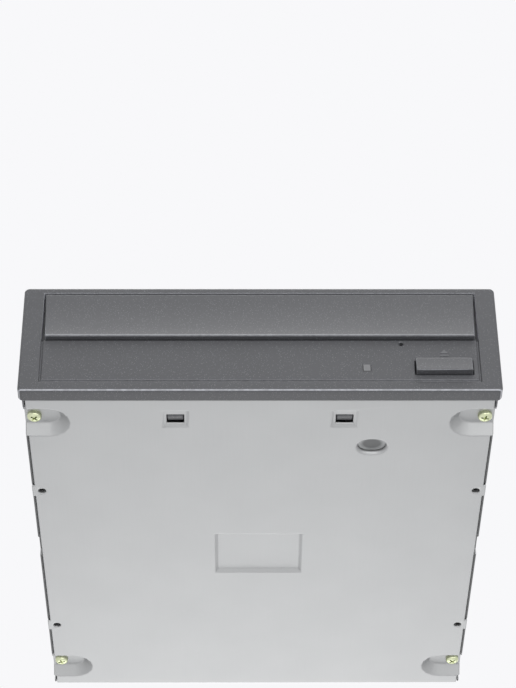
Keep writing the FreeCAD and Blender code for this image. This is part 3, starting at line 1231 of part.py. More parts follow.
def pulley_gear():
    """Large belt pulley with a pinion on top."""
    fit = POST_R + RUN_FIT
    drum = pulley(BELT_GEAR_X, DRIVE_Y, BELT_PULLEY_R, fit, WHEEL_SIDES)
    pinion = gear(GEAR_MODULE, PINION_TEETH, BELT_GEAR_X, DRIVE_Y, PULLEY_Z + PULLEY_T,
                  GEAR_Z + GEAR_T + PINION_OVER, math.pi + math.pi / PINION_TEETH)
    return carve(join(drum, pinion), bore(BELT_GEAR_X, DRIVE_Y, fit, 0, BODY_H))


def tray_drive_gear():
    """Double gear: large wheel driven by the pulley gear, pinion driving the tray's rack."""
    disc_gear = gear(GEAR_MODULE, WHEEL_TEETH, DRIVE_X, DRIVE_Y, GEAR_Z, RACK_PINION_Z, 0)
    pinion = gear(RACK_MODULE, RACK_TEETH, DRIVE_X, DRIVE_Y, RACK_PINION_Z, RACK_PINION_Z + PINION_T,
                  math.pi + math.pi / RACK_TEETH)
    return carve(join(disc_gear, pinion), bore(DRIVE_X, DRIVE_Y, POST_R + RUN_FIT, 0, BODY_H))


def tray_switch():
    """Switch that feels the tray's end of travel, with its lever."""
    x = MOTOR_X - TRAY_SWITCH_X
    y = SLIDER_Y - TRAY_SWITCH_Y
    top = DECK_TOP + TRAY_SWITCH_H
    half_x = TRAY_SWITCH_W / 2
    half_y = TRAY_SWITCH_L / 2
    body = box(x - half_x, x + half_x, y - half_y, y + half_y, DECK_TOP, top)
    lever = box(x - LEVER_T / 2, x + LEVER_T / 2, y - LEVER_L / 2, y + LEVER_L / 2, top, top + LEVER_H)
    return join(body, lever)


# Cam slider and lift frame
def cam_slider():
    """Bar with two sloping slots that carry the lift frame's pins."""
    left = -PIN_X - CAM_RUN - SLOT_HALF - SLIDER_END
    right = PIN_X + SLOT_HALF + SLIDER_END
    bar = box(left, right, SLIDER_Y, SLIDER_Y + SLIDER_T, SLIDER_Z, SLIDER_TOP)
    angle = math.degrees(math.atan2(LIFT_DROP, CAM_RUN))
    run = math.hypot(LIFT_DROP, CAM_RUN)
    cuts = []
    for x in (PIN_X, -PIN_X):
        cam = slot(-run, 0, 0, SLOT_HALF, -OVER, SLIDER_T + OVER)
        cam.rotate(V(0, 0, 0), V(0, 0, 1), angle)
        cam.rotate(V(0, 0, 0), V(1, 0, 0), 90)
        cam.translate(V(x, SLIDER_Y + SLIDER_T, LIFT_Z))
        cuts.append(cam)
    return carve(bar, *cuts)


def lift_frame():
    """Moulded ring that pivots at the rear and rides on the cam slider at the front."""
    outer = box(-LIFT_HALF, LIFT_HALF, LIFT_FRONT, LIFT_BACK, LIFT_Z - LIFT_T / 2, LIFT_Z + LIFT_T / 2)
    inner = LIFT_HALF - LIFT_RAIL
    hole = box(-inner, inner, LIFT_FRONT + LIFT_BAR, LIFT_BACK - LIFT_BAR / 2, 0, BODY_H)
    pin = bar_y(PIN_X, LIFT_Z, PIN_R, SMALL_SIDES, SLIDER_Y - PIN_END, LIFT_FRONT + OVER)
    pivot = rod_x(PIVOT_Y, LIFT_Z, PIVOT_R, LIFT_HALF - OVER, LIFT_HALF + CRADLE_GAP + CRADLE_T)
    pins = both_sides(pin) + both_sides(pivot)
    bores = [prism(side * DAMPER_X, y, DAMPER_BORE, HOLE_SIDES, 0, BODY_H)
             for side in (1, -1) for y in DAMPER_ROWS]
    return carve(join(carve(outer, hole), *pins), *bores)


# Traverse
def traverse_plate():
    """Pressed steel plate that holds spindle, rods and sled motor, hung on four dampers."""
    half = LIFT_HALF - PLATE_EDGE
    plate = box(-half, half, LIFT_FRONT + PLATE_FRONT_GAP, LIFT_BACK - PLATE_FRONT_GAP, PLATE_Z, PLATE_TOP)
    left = SUB_ROD_X - ROD_R - ROD_WALL - PLATE_ROOM
    right = SCREW_X + SCREW_R + NUT_WALL + PLATE_ROOM
    motor = SLED_MOTOR_R + PLATE_ROOM
    cuts = [box(left, right, WINDOW_Y0, WINDOW_Y1, 0, BODY_H),
            wheel(0, DISC_Y, BEARING_R + PLATE_ROOM, 0, BODY_H),
            box(SCREW_X - motor, SCREW_X + motor, SLED_MOTOR_Y - PLATE_ROOM, SLED_MOTOR_Y + SLED_MOTOR_L, 0,
                BODY_H)]
    neck = DAMPER_NECK + DAMPER_FIT
    cuts += [prism(side * DAMPER_X, y, neck, HOLE_SIDES, 0, BODY_H) for side in (1, -1) for y in DAMPER_ROWS]
    return carve(plate, *cuts)


def damper_grommets():
    """Rubber grommets clamped round the plate's edges, one at each corner."""
    low = PLATE_Z - DAMPER_FLANGE
    high = PLATE_TOP + DAMPER_FLANGE
    grommets = []
    for x in (DAMPER_X, -DAMPER_X):
        for y in DAMPER_ROWS:
            neck = prism(x, y, DAMPER_NECK, HOLE_SIDES, PLATE_Z, PLATE_TOP)
            flanges = [prism(x, y, DAMPER_R, HEAD_SIDES, low, PLATE_Z),
                       prism(x, y, DAMPER_R, HEAD_SIDES, PLATE_TOP, high)]
            grommets.append(carve(join(neck, *flanges), prism(x, y, DAMPER_BORE, HOLE_SIDES, low, high)))
    return grommets


def damper_screws():
    """Screws through the grommets into the lift frame."""
    seat = PLATE_TOP + DAMPER_FLANGE
    sizes = (DAMPER_R - DAMPER_HEAD_IN, SMALL_HEAD_H, SMALL_SHANK_R, seat - LIFT_Z, HEAD_SIDES)
    return [screw(side * DAMPER_X, y, seat, -1, *sizes) for side in (1, -1) for y in DAMPER_ROWS]


def guide_rods():
    """Two ground rods that the sled runs on."""
    return [bar_y(x, ROD_Z, ROD_R, WHEEL_SIDES, ROD_Y0, ROD_Y1) for x in (ROD_X, SUB_ROD_X)]


def rod_holders():
    """Blocks on the plate with open seats for the rod ends, and for the lead screw's rear end."""
    top = ROD_Z + ROD_R + ROD_WALL
    seat = ROD_R + ROD_FIT
    free = SCREW_R + RUN_FIT
    blocks = []
    for start in (ROD_Y0, WINDOW_Y1):
        y0 = start - OVER
        y1 = start + HOLDER_L + OVER
        for x in (ROD_X, SUB_ROD_X):
            with_screw = x == ROD_X and start == WINDOW_Y1
            reach = SCREW_X + SCREW_R + ROD_WALL if with_screw else x + ROD_R + ROD_WALL
            block = box(x - ROD_R - ROD_WALL, reach, start, start + HOLDER_L, PLATE_TOP, top)
            seats = [box(x - seat, x + seat, y0, y1, ROD_Z - ROD_R, BODY_H)]
            if with_screw:
                seats.append(box(SCREW_X - free, SCREW_X + free, y0, y1, ROD_Z - free, BODY_H))
            blocks.append(carve(block, *seats))
    return blocks


def sled_motor():
    """Stepper motor with its mounting flange, at the lead screw's front end."""
    can = bar_y(SCREW_X, ROD_Z, SLED_MOTOR_R, SMALL_SIDES, SLED_MOTOR_Y, SLED_MOTOR_Y + SLED_MOTOR_L)
    y = SLED_MOTOR_Y + SLED_MOTOR_L
    half = SLED_MOTOR_R + SLED_FLANGE
    flange = box(SCREW_X - half, SCREW_X + half, y, y + SLED_FLANGE, PLATE_TOP, ROD_Z + SLED_MOTOR_R)
    fit = (SCREW_R + RUN_FIT) / math.cos(math.pi / BORE_SIDES)
    hole = bar_y(SCREW_X, ROD_Z, fit, BORE_SIDES, y - SCREW_SEAT - OVER, y + SLED_FLANGE + OVER)
    return carve(join(can, flange), hole)


def lead_screw():
    """Screw that drives the sled along its rods."""
    return rod_y(SCREW_X, ROD_Z, SCREW_R, SLED_MOTOR_Y + SLED_MOTOR_L - SCREW_SEAT, ROD_Y1 - SCREW_END)


def spindle_base():
    """Spindle motor's base plate with its bearing tube."""
    plate = box(-BASE_HALF, BASE_HALF, DISC_Y - BASE_FRONT, DISC_Y + BELL_R, PLATE_TOP, BASE_TOP)
    foot = PLATE_Z - BEARING_DROP
    tube = wheel(0, DISC_Y, BEARING_R, foot, TABLE_Z - 2 * BELL_WALL)
    return carve(join(plate, tube), bore(0, DISC_Y, SHAFT_R + SHAFT_FIT, foot + BEARING_FLOOR, BODY_H))


def spindle_stator():
    """Stator core with its poles, round the bearing tube."""
    low = BASE_TOP
    high = TABLE_Z - 2 * BELL_WALL
    core = prism(0, DISC_Y, BEARING_R + STATOR_CORE, 2 * STATOR_POLES, low, high)
    poles = []
    for i in range(STATOR_POLES):
        pole = box(0, STATOR_R, DISC_Y - POLE_HALF, DISC_Y + POLE_HALF, low + POLE_INSET, high - POLE_INSET)
        pole.rotate(V(0, DISC_Y, 0), V(0, 0, 1), 360.0 * i / STATOR_POLES)
        poles.append(pole)
    return carve(join(core, *poles), wheel(0, DISC_Y, BEARING_R, 0, BODY_H))


def spindle_rotor():
    """Rotor bell with the shaft that carries the turntable."""
    bell = carve(wheel(0, DISC_Y, BELL_R, BELL_Z, TABLE_Z),
                 wheel(0, DISC_Y, BELL_R - BELL_WALL, BELL_Z, TABLE_Z - BELL_WALL))
    foot = PLATE_Z - BEARING_DROP + BEARING_FLOOR + BEARING_GAP
    return join(bell, disc(0, DISC_Y, SHAFT_R, foot, PAD_TOP))


def turntable():
    """Plastic turntable with the disc-centring hub."""
    pad_z = PAD_TOP - TABLE_PAD_T
    nose = draft(ngon(0, DISC_Y, HUB_R, WHEEL_SIDES), PAD_TOP + DISC_T,
                 ngon(0, DISC_Y, MAGNET_R + MAGNET_WALL, WHEEL_SIDES), HUB_TOP)
    hub = wheel(0, DISC_Y, HUB_R, pad_z, PAD_TOP + DISC_T)
    table = join(wheel(0, DISC_Y, TABLE_R, TABLE_Z, pad_z), hub, nose)
    return carve(table, wheel(0, DISC_Y, MAGNET_R, PAD_TOP, BODY_H), bore(0, DISC_Y, SHAFT_R, 0, BODY_H))


def turntable_pad():
    """Rubber ring that grips the disc."""
    outer = TABLE_R - TABLE_PAD_IN
    return ring(0, DISC_Y, outer - TABLE_PAD_W, outer, PAD_TOP - TABLE_PAD_T, PAD_TOP)


def hub_magnet():
    """Ring magnet in the hub that pulls the clamper down."""
    return ring(0, DISC_Y, MAGNET_BORE, MAGNET_R, PAD_TOP, HUB_TOP - MAGNET_SINK)


# Clamper
def clamper_puck():
    """Lower half of the clamper, hung in the bridge's eye."""
    shoulder = PUCK_Z + PUCK_T
    puck = join(wheel(0, DISC_Y, PUCK_R, PUCK_Z, shoulder), wheel(0, DISC_Y, NECK_R, shoulder, CAP_Z))
    return carve(puck, wheel(0, DISC_Y, HUB_R + HUB_ROOM, PUCK_Z, PUCK_ROOF))


def clamper_yoke():
    """Steel disc in the puck that the hub's magnet pulls on."""
    return wheel(0, DISC_Y, HUB_R, PUCK_ROOF - YOKE_T, PUCK_ROOF)


def clamper_cap():
    """Cap above the bridge that keeps the clamper in its eye."""
    return draft(ngon(0, DISC_Y, CAP_R, WHEEL_SIDES), CAP_Z,
                 ngon(0, DISC_Y, CAP_R - CAP_T, WHEEL_SIDES), CAP_Z + CAP_T)


# Pickup sled
def pickup_base():
    """Die-cast pickup body with rod bearings and a bay for the lens drive."""
    body = box(-SLED_HALF, SLED_HALF, SLED_Y0, SLED_Y1, SLED_Z, SLED_TOP)
    outer = ROD_R + ROD_WALL
    parts = []
    for y in (SLED_Y0, SLED_Y1 - EAR_L):
        parts.append(box(ROD_X - outer, ROD_X + outer, y, y + EAR_L, ROD_Z - outer, ROD_Z + outer))
        parts.append(box(SLED_HALF, ROD_X, y, y + EAR_L, ROD_Z - EAR_ARM, ROD_Z + EAR_ARM))
    ear_end = LENS_Y + SUB_EAR_L
    parts.append(box(SUB_ROD_X - outer, -SLED_HALF, LENS_Y, ear_end, ROD_Z - outer, ROD_Z + outer))
    fit = ROD_R + SLED_FIT
    bay = HOLDER_HALF + BAY_ROOM
    hollow = SLED_HALF - SLED_WALL
    flats_r = fit / math.cos(math.pi / BORE_SIDES)
    cuts = [disc(0, DISC_Y, TABLE_R + TABLE_ROOM, 0, BODY_H),
            box(-bay, bay, LENS_Y - HOLDER_HALF - BAY_FRONT, LENS_Y + bay, SLED_TOP - BAY_DEPTH, BODY_H),
            bar_y(ROD_X, ROD_Z, flats_r, BORE_SIDES, SLED_Y0 - OVER, SLED_Y1 + OVER),
            box(SUB_ROD_X - outer - OVER, SUB_ROD_X + fit, LENS_Y - OVER, ear_end + OVER,
                ROD_Z - fit, ROD_Z + fit),
            box(-hollow, hollow, LENS_Y + bay + SLED_WALL, SLED_Y1 - SLED_WALL,
                SLED_Z - OVER, SLED_TOP - SLED_WALL)]
    return carve(join(body, *parts), *cuts)


def pickup_cover():
    """Thin steel cover over the lens drive, open round the lens."""
    x = HOLDER_HALF + BAY_ROOM + SLED_WALL
    y0 = LENS_Y - HOLDER_HALF - NOTCH_PLAY
    y1 = LENS_Y + HOLDER_HALF + 2 * BAY_ROOM
    top = SLED_TOP + PICKUP_COVER_H
    shell = box(-x, x, y0, y1, SLED_TOP, top)
    inner = x - PICKUP_SKIN
    inside = box(-inner, inner, y0 - OVER, y1 - PICKUP_SKIN, SLED_TOP - OVER, top - PICKUP_SKIN)
    open_x = HOLDER_HALF + BAY_FRONT
    return carve(shell, inside, box(-open_x, open_x, y0 - OVER, LENS_Y + open_x, 0, BODY_H))


def lens_holder():
    """Moving holder that carries the objective lens."""
    block = box(-HOLDER_HALF, HOLDER_HALF, LENS_Y - HOLDER_HALF, LENS_Y + HOLDER_HALF,
                SLED_TOP - HOLDER_SINK, LENS_SEAT - CUP_H)
    cup = prism(0, LENS_Y, LENS_R + LENS_CUP, SMALL_SIDES, LENS_SEAT - CUP_H, LENS_SEAT + LENS_CUP / 2)
    return carve(join(block, cup), prism(0, LENS_Y, LENS_R, SMALL_SIDES, LENS_SEAT, BODY_H),
                 prism(0, LENS_Y, LENS_R - LENS_CUP, SMALL_SIDES, 0, BODY_H))


def objective_lens():
    """Domed lens seated in the holder."""
    middle = LENS_SEAT + LENS_H / 2
    rim = prism(0, LENS_Y, LENS_R, SMALL_SIDES, LENS_SEAT, middle)
    dome = draft(ngon(0, LENS_Y, LENS_R, SMALL_SIDES), middle,
                 ngon(0, LENS_Y, LENS_R / 2, SMALL_SIDES), LENS_SEAT + LENS_H)
    return join(rim, dome)


def sled_nut():
    """Spring nut that couples the sled to the lead screw."""
    y0 = LENS_Y
    y1 = y0 + NUT_L
    low = ROD_Z + ROD_R + ROD_WALL
    top = low + NUT_ARM_T
    arm = box(ROD_X - NUT_ARM, SCREW_X, y0, y1, low, top)
    half = SCREW_R + NUT_WALL
    block = box(SCREW_X - half, SCREW_X + half, y0, y1, ROD_Z - SCREW_R - NUT_FLOOR, top)
    fit = (SCREW_R + NUT_FIT) / math.cos(math.pi / BORE_SIDES)
    return carve(join(arm, block), bar_y(SCREW_X, ROD_Z, fit, BORE_SIDES, y0 - OVER, y1 + OVER))


# Main board
def main_board():
    """Circuit board lying on the bottom cover."""
    board = box(-BOARD_HALF, BOARD_HALF, BOARD_FRONT, BOARD_BACK, BOARD_Z, BOARD_TOP)
    holes = [prism(x, y, CLEAR_R, HOLE_SIDES, 0, BODY_H) for x, y in main_board_bosses()]
    return carve(board, *holes)


def main_chip():
    """Controller chip under the board, over the pressed pad."""
    y = PAD_Y + PAD_L / 2
    return box(-CHIP_HALF, CHIP_HALF, y - CHIP_HALF, y + CHIP_HALF, BOARD_Z - CHIP_T, BOARD_Z)


def thermal_pad():
    """Soft pad that leads the chip's heat into the bottom cover."""
    y = PAD_Y + PAD_L / 2
    low = SHEET + PAD_EMBOSS
    return box(-THERMAL_HALF, THERMAL_HALF, y - THERMAL_HALF, y + THERMAL_HALF, low, low + PAD_T)


def board_chips():
    """Memory, motor driver and regulator on top of the board."""
    chips = []
    for x, step, half_x, half_y in CHIP_PLACES:
        y = BOARD_FRONT + step
        chips.append(box(x - half_x, x + half_x, y - half_y, y + half_y, BOARD_TOP, BOARD_TOP + SMALL_CHIP_T))
    return chips


def board_capacitors():
    """Upright can capacitors along the board's sides."""
    x = BOARD_HALF - CAN_EDGE
    return [prism(side * x, BOARD_FRONT + step, CAN_R, SMALL_SIDES, BOARD_TOP, BOARD_TOP + CAN_H)
            for side, step in CAN_PLACES]


def rear_connector():
    """Rear plug for serial data and power: two shrouds, each round a flat tongue."""
    x0 = PLUG_X - PLUG_W / 2
    x1 = PLUG_X + PLUG_W / 2
    top = BOARD_TOP + PLUG_H
    shell = box(x0, x1, BODY_D - PLUG_L, BODY_D, BOARD_TOP, top)
    mid = BOARD_TOP + PLUG_H / 2
    floor = BODY_D - PLUG_DEPTH
    end = BODY_D - TONGUE_SET
    cuts = []
    tongues = []
    for a, b in plug_rooms():
        cuts.append(box(a, b, floor, BODY_D + OVER, BOARD_TOP + PLUG_WALL, top - PLUG_WALL))
        a += PLUG_WALL
        tongues.append(box(a, b - PLUG_WALL, floor - PLUG_WALL, end, mid - TONGUE_T / 2, mid + TONGUE_T / 2))
        tongues.append(box(a, a + KEY_W, floor - PLUG_WALL, end, mid, mid + KEY_H))
    return join(carve(shell, *cuts), *tongues)


def plug_rooms():
    """Ends across the drive of the plug's data room and power room."""
    x0 = PLUG_X - PLUG_W / 2
    split = x0 + PLUG_DATA_W
    return ((x0 + PLUG_WALL, split - PLUG_DIVIDER / 2),
            (split + PLUG_DIVIDER / 2, PLUG_X + PLUG_W / 2 - PLUG_WALL))


def connector_contacts():
    """Contact strips along the middle of the two tongues."""
    top = BOARD_TOP + PLUG_H / 2 - TONGUE_T / 2
    strips = []
    for (a, b), count in zip(plug_rooms(), (DATA_CONTACTS, POWER_CONTACTS)):
        first = (a + b - CONTACT_PITCH * (count - 1)) / 2
        for i in range(count):
            x = first + CONTACT_PITCH * i
            strips.append(box(x - CONTACT_HALF, x + CONTACT_HALF, BODY_D - PLUG_DEPTH + CONTACT_SET,
                              BODY_D - CONTACT_SET, top - CONTACT_T, top))
    return strips


def ribbon_sockets():
    """Sockets for the ribbon cables: two on the main board and one on the front board."""
    x0 = BUTTON_X - RIBBON_LEFT - SOCKET_WALL
    x1 = BUTTON_X + RIBBON_RIGHT + SOCKET_WALL
    rear = BOARD_FRONT + SOCKET_EDGE
    front = FRONT_BOARD_Y + FRONT_BOARD_L - SOCKET_EDGE - SOCKET_L
    pickup = BOARD_FRONT + PICKUP_SOCKET_Y
    half = PICKUP_SOCKET_HALF
    return [box(x0, x1, rear, rear + SOCKET_L, BOARD_TOP, BOARD_TOP + SOCKET_H),
            box(-half, half, pickup, pickup + SOCKET_L, BOARD_TOP, BOARD_TOP + SOCKET_H),
            box(x0, x1, front, front + SOCKET_L, FRONT_BOARD_TOP, FRONT_BOARD_TOP + SOCKET_H)]


def loader_ribbon():
    """Flat cable from the front board to the main board."""
    start = FRONT_BOARD_Y + FRONT_BOARD_L - SOCKET_EDGE
    low = BOARD_TOP + RIBBON_LIFT
    high = FRONT_BOARD_TOP + RIBBON_LIFT
    bend = start + RIBBON_RUN
    route = [(start, high), (bend, high), (bend + RIBBON_FALL, low), (BOARD_FRONT + SOCKET_EDGE, low)]
    route += [(y, z + RIBBON_T) for y, z in reversed(route)]
    return profile_x(BUTTON_X - RIBBON_LEFT, BUTTON_X + RIBBON_RIGHT, route)


def board_screws():
    """Screws from below through both boards."""
    length = BOARD_T + SMALL_GRIP
    screws = [small_screw(x, y, BOARD_Z, 1, length) for x, y in main_board_bosses()]
    return screws + [small_screw(x, y, FRONT_BOARD_Z, 1, length) for x, y in front_board_bosses()]


PIECES = (bottom_cover, top_cover, front_bezel, tray_door, disc_tray, eject_button, eject_switch,
          switch_plunger, light_pipe, status_light, front_board, loader_frame, clamp_bridge,
          loading_motor, motor_shaft, motor_pulley, drive_belt, pulley_gear, tray_drive_gear,
          tray_switch, cam_slider, lift_frame, traverse_plate, sled_motor, lead_screw, spindle_base,
          spindle_stator, spindle_rotor, turntable, turntable_pad, hub_magnet, clamper_puck,
          clamper_yoke, clamper_cap, pickup_base, pickup_cover, lens_holder, objective_lens, sled_nut,
          main_board, main_chip, thermal_pad, rear_connector, loader_ribbon)
GROUPS = (cover_screws, bridge_screws, motor_screws, damper_grommets, damper_screws, guide_rods, rod_holders,
          board_chips, board_capacitors, connector_contacts, ribbon_sockets, board_screws)

os.makedirs("parts", exist_ok=True)
for piece in PIECES:
    write(piece.__name__, piece())
for group in GROUPS:
    write(group.__name__, *group())
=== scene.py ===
"""Looks of a half-height optical disc drive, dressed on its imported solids.

Everything is in metres in the drive's own frame: x to the right seen from the front, y to the rear, z up, with the
origin in the middle of the bottom mounting holes.
"""

import json
import math

import bmesh
import bpy
from mathutils import Matrix, Vector

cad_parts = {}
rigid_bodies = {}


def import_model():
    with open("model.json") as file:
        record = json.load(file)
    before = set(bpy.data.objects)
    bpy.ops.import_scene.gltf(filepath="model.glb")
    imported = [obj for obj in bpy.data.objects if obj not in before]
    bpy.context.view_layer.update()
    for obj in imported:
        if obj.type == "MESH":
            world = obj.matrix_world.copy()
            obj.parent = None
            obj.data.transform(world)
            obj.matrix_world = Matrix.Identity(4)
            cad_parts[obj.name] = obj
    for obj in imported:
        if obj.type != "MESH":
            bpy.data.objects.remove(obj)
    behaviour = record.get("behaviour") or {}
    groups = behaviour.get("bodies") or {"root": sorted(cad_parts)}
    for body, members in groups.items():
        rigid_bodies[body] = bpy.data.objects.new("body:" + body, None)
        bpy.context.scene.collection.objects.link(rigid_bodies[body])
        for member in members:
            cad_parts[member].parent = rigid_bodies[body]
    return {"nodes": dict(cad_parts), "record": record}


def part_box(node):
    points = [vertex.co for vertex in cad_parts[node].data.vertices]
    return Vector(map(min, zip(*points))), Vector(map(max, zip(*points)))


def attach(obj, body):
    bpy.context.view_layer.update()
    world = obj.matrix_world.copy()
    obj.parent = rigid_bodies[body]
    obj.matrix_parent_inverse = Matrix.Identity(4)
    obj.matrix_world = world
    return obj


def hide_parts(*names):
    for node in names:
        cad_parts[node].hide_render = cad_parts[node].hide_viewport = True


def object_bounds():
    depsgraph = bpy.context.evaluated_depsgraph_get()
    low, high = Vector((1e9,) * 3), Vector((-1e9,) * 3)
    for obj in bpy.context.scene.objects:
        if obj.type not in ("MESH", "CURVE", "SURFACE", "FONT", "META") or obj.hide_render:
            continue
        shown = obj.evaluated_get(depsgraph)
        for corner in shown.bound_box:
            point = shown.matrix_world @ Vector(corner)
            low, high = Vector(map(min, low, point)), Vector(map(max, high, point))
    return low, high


# the start-up scene's own cube, lamp and camera go
for stray in list(bpy.data.objects):
    bpy.data.objects.remove(stray)
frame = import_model()
CAD_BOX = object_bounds()
NODES = frame["nodes"]
SLOT_OF = {part["node"]: part["material_slot"] for part in frame["record"]["subparts"]}

bl_info = {
    "name": "Optical disc drive looks",
    "version": (1, 0, 0),
    "blender": (4, 5, 0),
    "location": "View3D > Sidebar > Disc drive",
    "description": "Finishes, small fittings and studio of a half-height optical disc drive",
    "category": "Object",
}

MM = 0.001
BEZEL_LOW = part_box("front_bezel")[0]
BUTTON_LOW, BUTTON_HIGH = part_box("eject_button")
DOOR_LOW, DOOR_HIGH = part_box("tray_door")
MOTOR_LOW, MOTOR_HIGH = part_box("loading_motor")
SCREWS_LOW, SCREWS_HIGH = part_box("cover_screws")
# room between the tray door and its opening
DOOR_GAP = 0.45 * MM
# eased edges: vertices closer than the seam are one, and folds sharper than the angle are rounded in steps
SEAM, SHARP_FOLD, EDGE_STEPS, FLAT_FACE_WEIGHT = 0.002 * MM, math.radians(32), 3, 100

# cover screws: (radius, height) of the pan head's profile as shares of the head, and shares of the cross recess
PAN_PROFILE = ((0.0, 0.0), (0.62, 0.02), (0.84, 0.14), (0.96, 0.36), (1.0, 0.62), (1.0, 1.0))
SHANK_TAPER_START, SHANK_TIP = 0.94, 0.5
SCREW_SIDES, SCREW_CREASE, SOLID_HEAD_FLATS = 40, math.radians(38), 12
RECESS_BAR_WIDTH, RECESS_DEPTH, RECESS_MOUTH = 0.2, 0.8, -0.2
RECESS_FOOT_LENGTH, RECESS_FOOT_WIDTH = 0.45, 0.835
# the recesses point all ways, as driven screws do
FIRST_SCREW_TURN, NEXT_SCREW_TURN = math.radians(40), math.radians(33)

# eject mark: outlines and place as shares of its width
MARK_TRIANGLE = ((-0.5, 0.02), (0.5, 0.02), (0.0, 0.6))
MARK_BAR = ((-0.5, -0.36), (0.5, -0.36), (0.5, -0.17), (-0.5, -0.17))
MARK_ASIDE, MARK_OVER_BUTTON = 0.1, 0.6
MARK_ROOT, MARK_EDGE = 0.05 * MM, 0.05 * MM

# softboxes: name, place from the drive's middle, width, and share of the lamps' power
SOFTBOXES = (
    ("front_softbox", (0.25, -0.95, -0.2), 1.8, 2.6),
    ("high_softbox", (0.1, -0.4, 0.94), 0.6, 1.05),
    ("fill_softbox", (0.05, -0.7, -0.5), 0.5, 0.32),
    ("under_softbox", (-0.1, 0.1, -0.95), 1.0, 0.2),
    ("low_rear_softbox", (0.0, 0.4, -0.17), 0.36, 0.16),
    ("over_softbox", (-0.2, 0.1, 1.0), 1.0, 1.9),
    ("rear_softbox", (0.3, 1.0, 0.4), 1.0, 0.6),
)
SOFTBOX_HEIGHT = 0.8
FLOOR_REACH, FLOOR_GAP = 3.0, 0.05 * MM
PAPER_FADE_START, PAPER_FADE_END = 0.2, 0.8
SENSOR_WIDTH, CLIP_START = 36.0, 0.01

# what the lengths and the colours among the settings have in common
LENGTH = {"precision": 5, "unit": "LENGTH", "subtype": "DISTANCE"}
COLOUR = {"size": 3, "subtype": "COLOR"}


def linear(code):
    """Linear colour from an sRGB hex code."""
    parts = [int(code[i:i + 2], 16) / 255 for i in (0, 2, 4)]
    return tuple(p / 12.92 if p <= 0.04045 else ((p + 0.055) / 1.055) ** 2.4 for p in parts)


def shade(colour, factor):
    """Colour for a socket, made lighter or darker."""
    return tuple(min(1.0, c * factor) for c in colour) + (1.0,)


def per_mm(size):
    """Texture scale that gives features of a size in millimetres."""
    return 1000.0 / size


class DriveSizes(bpy.types.PropertyGroup):
    """Small sizes that the solids leave to the looks."""

    moulded_edge: bpy.props.FloatProperty(
        name="Moulded edge", description="Radius left on the edges of moulded pieces", default=0.24 * MM, **LENGTH)
    sheet_edge: bpy.props.FloatProperty(
        name="Sheet edge", description="Radius left on pressed and sheared sheet steel", default=0.32 * MM, **LENGTH)
    screw_head: bpy.props.FloatProperty(
        name="Screw head", description="Radius of the cover screws' heads", default=2.25 * MM, **LENGTH)
    screw_head_height: bpy.props.FloatProperty(
        name="Screw head height", description="Height of the cover screws' heads", default=1.5 * MM, **LENGTH)
    screw_shank: bpy.props.FloatProperty(
        name="Screw shank", description="Radius of the cover screws' shanks", default=1.2 * MM, **LENGTH)
    recess_reach: bpy.props.FloatProperty(
        name="Recess reach", description="Half length of each bar of the cross recess", default=1.45 * MM, **LENGTH)
    mark_width: bpy.props.FloatProperty(
        name="Eject mark", description="Width of the raised eject mark", default=2.6 * MM, **LENGTH)
    mark_raise: bpy.props.FloatProperty(
        name="Mark height", description="How far the eject mark stands off the bezel", default=0.14 * MM, **LENGTH)


class DriveFinishes(bpy.types.PropertyGroup):
    """Base colours of the finishes."""

    steel: bpy.props.FloatVectorProperty(
        name="Sheet steel", description="Zinc-coated sheet", default=linear("ABACAC"), **COLOUR)
    bezel: bpy.props.FloatVectorProperty(
        name="Bezel", description="Charcoal ABS of the front", default=linear("555659"), **COLOUR)
    moulding: bpy.props.FloatVectorProperty(
        name="Black moulding", description="Black ABS inside", default=linear("2B2B2D"), **COLOUR)
    acetal: bpy.props.FloatVectorProperty(
        name="Acetal", description="Natural acetal of the gears", default=linear("E6E3D8"), **COLOUR)
    zinc: bpy.props.FloatVectorProperty(
        name="Yellow zinc", description="Passivated zinc of the screws", default=linear("D2D4B7"), **COLOUR)
    mask: bpy.props.FloatVectorProperty(
        name="Solder mask", description="Green coating of the boards", default=linear("1F6B3A"), **COLOUR)
    window: bpy.props.FloatVectorProperty(
        name="Light window", description="Milky polycarbonate", default=linear("838486"), **COLOUR)


class DriveStage(bpy.types.PropertyGroup):
    """Camera and light."""

    lens: bpy.props.FloatProperty(
        name="Lens", description="Focal length on a 36 mm frame", default=119.248, subtype="DISTANCE_CAMERA")
    eye: bpy.props.FloatVectorProperty(
        name="Camera", description="Camera's place", size=3, subtype="TRANSLATION",
        default=(-6.687 * MM, BEZEL_LOW.y - 542.54 * MM, -432.589 * MM))
    pitch: bpy.props.FloatProperty(
        name="Pitch", description="Line of sight away from straight up", default=math.radians(50.2854),
        subtype="ANGLE")
    yaw: bpy.props.FloatProperty(
        name="Yaw", description="Line of sight to the right", default=math.radians(0.4933), subtype="ANGLE")
    backdrop: bpy.props.FloatVectorProperty(
        name="Backdrop", description="Colour behind the object", default=linear("F8F8FA"), **COLOUR)
    ambient: bpy.props.FloatProperty(
        name="Ambient", description="Share of plain light that comes from all round", default=0.36, min=0, max=1)
    softbox_power: bpy.props.FloatProperty(
        name="Softboxes", description="Power of a softbox with a share of 1", default=2.6, unit="POWER")


def add(tree, kind, inputs=None, **settings):
    """Add a node with its settings, and feed its sockets with values or with other sockets."""
    made = tree.nodes.new(kind)
    for key, value in settings.items():
        setattr(made, key, value)
    for socket, value in (inputs or {}).items():
        if isinstance(value, bpy.types.NodeSocket):
            tree.links.new(value, made.inputs[socket])
        else:
            made.inputs[socket].default_value = value
    return made


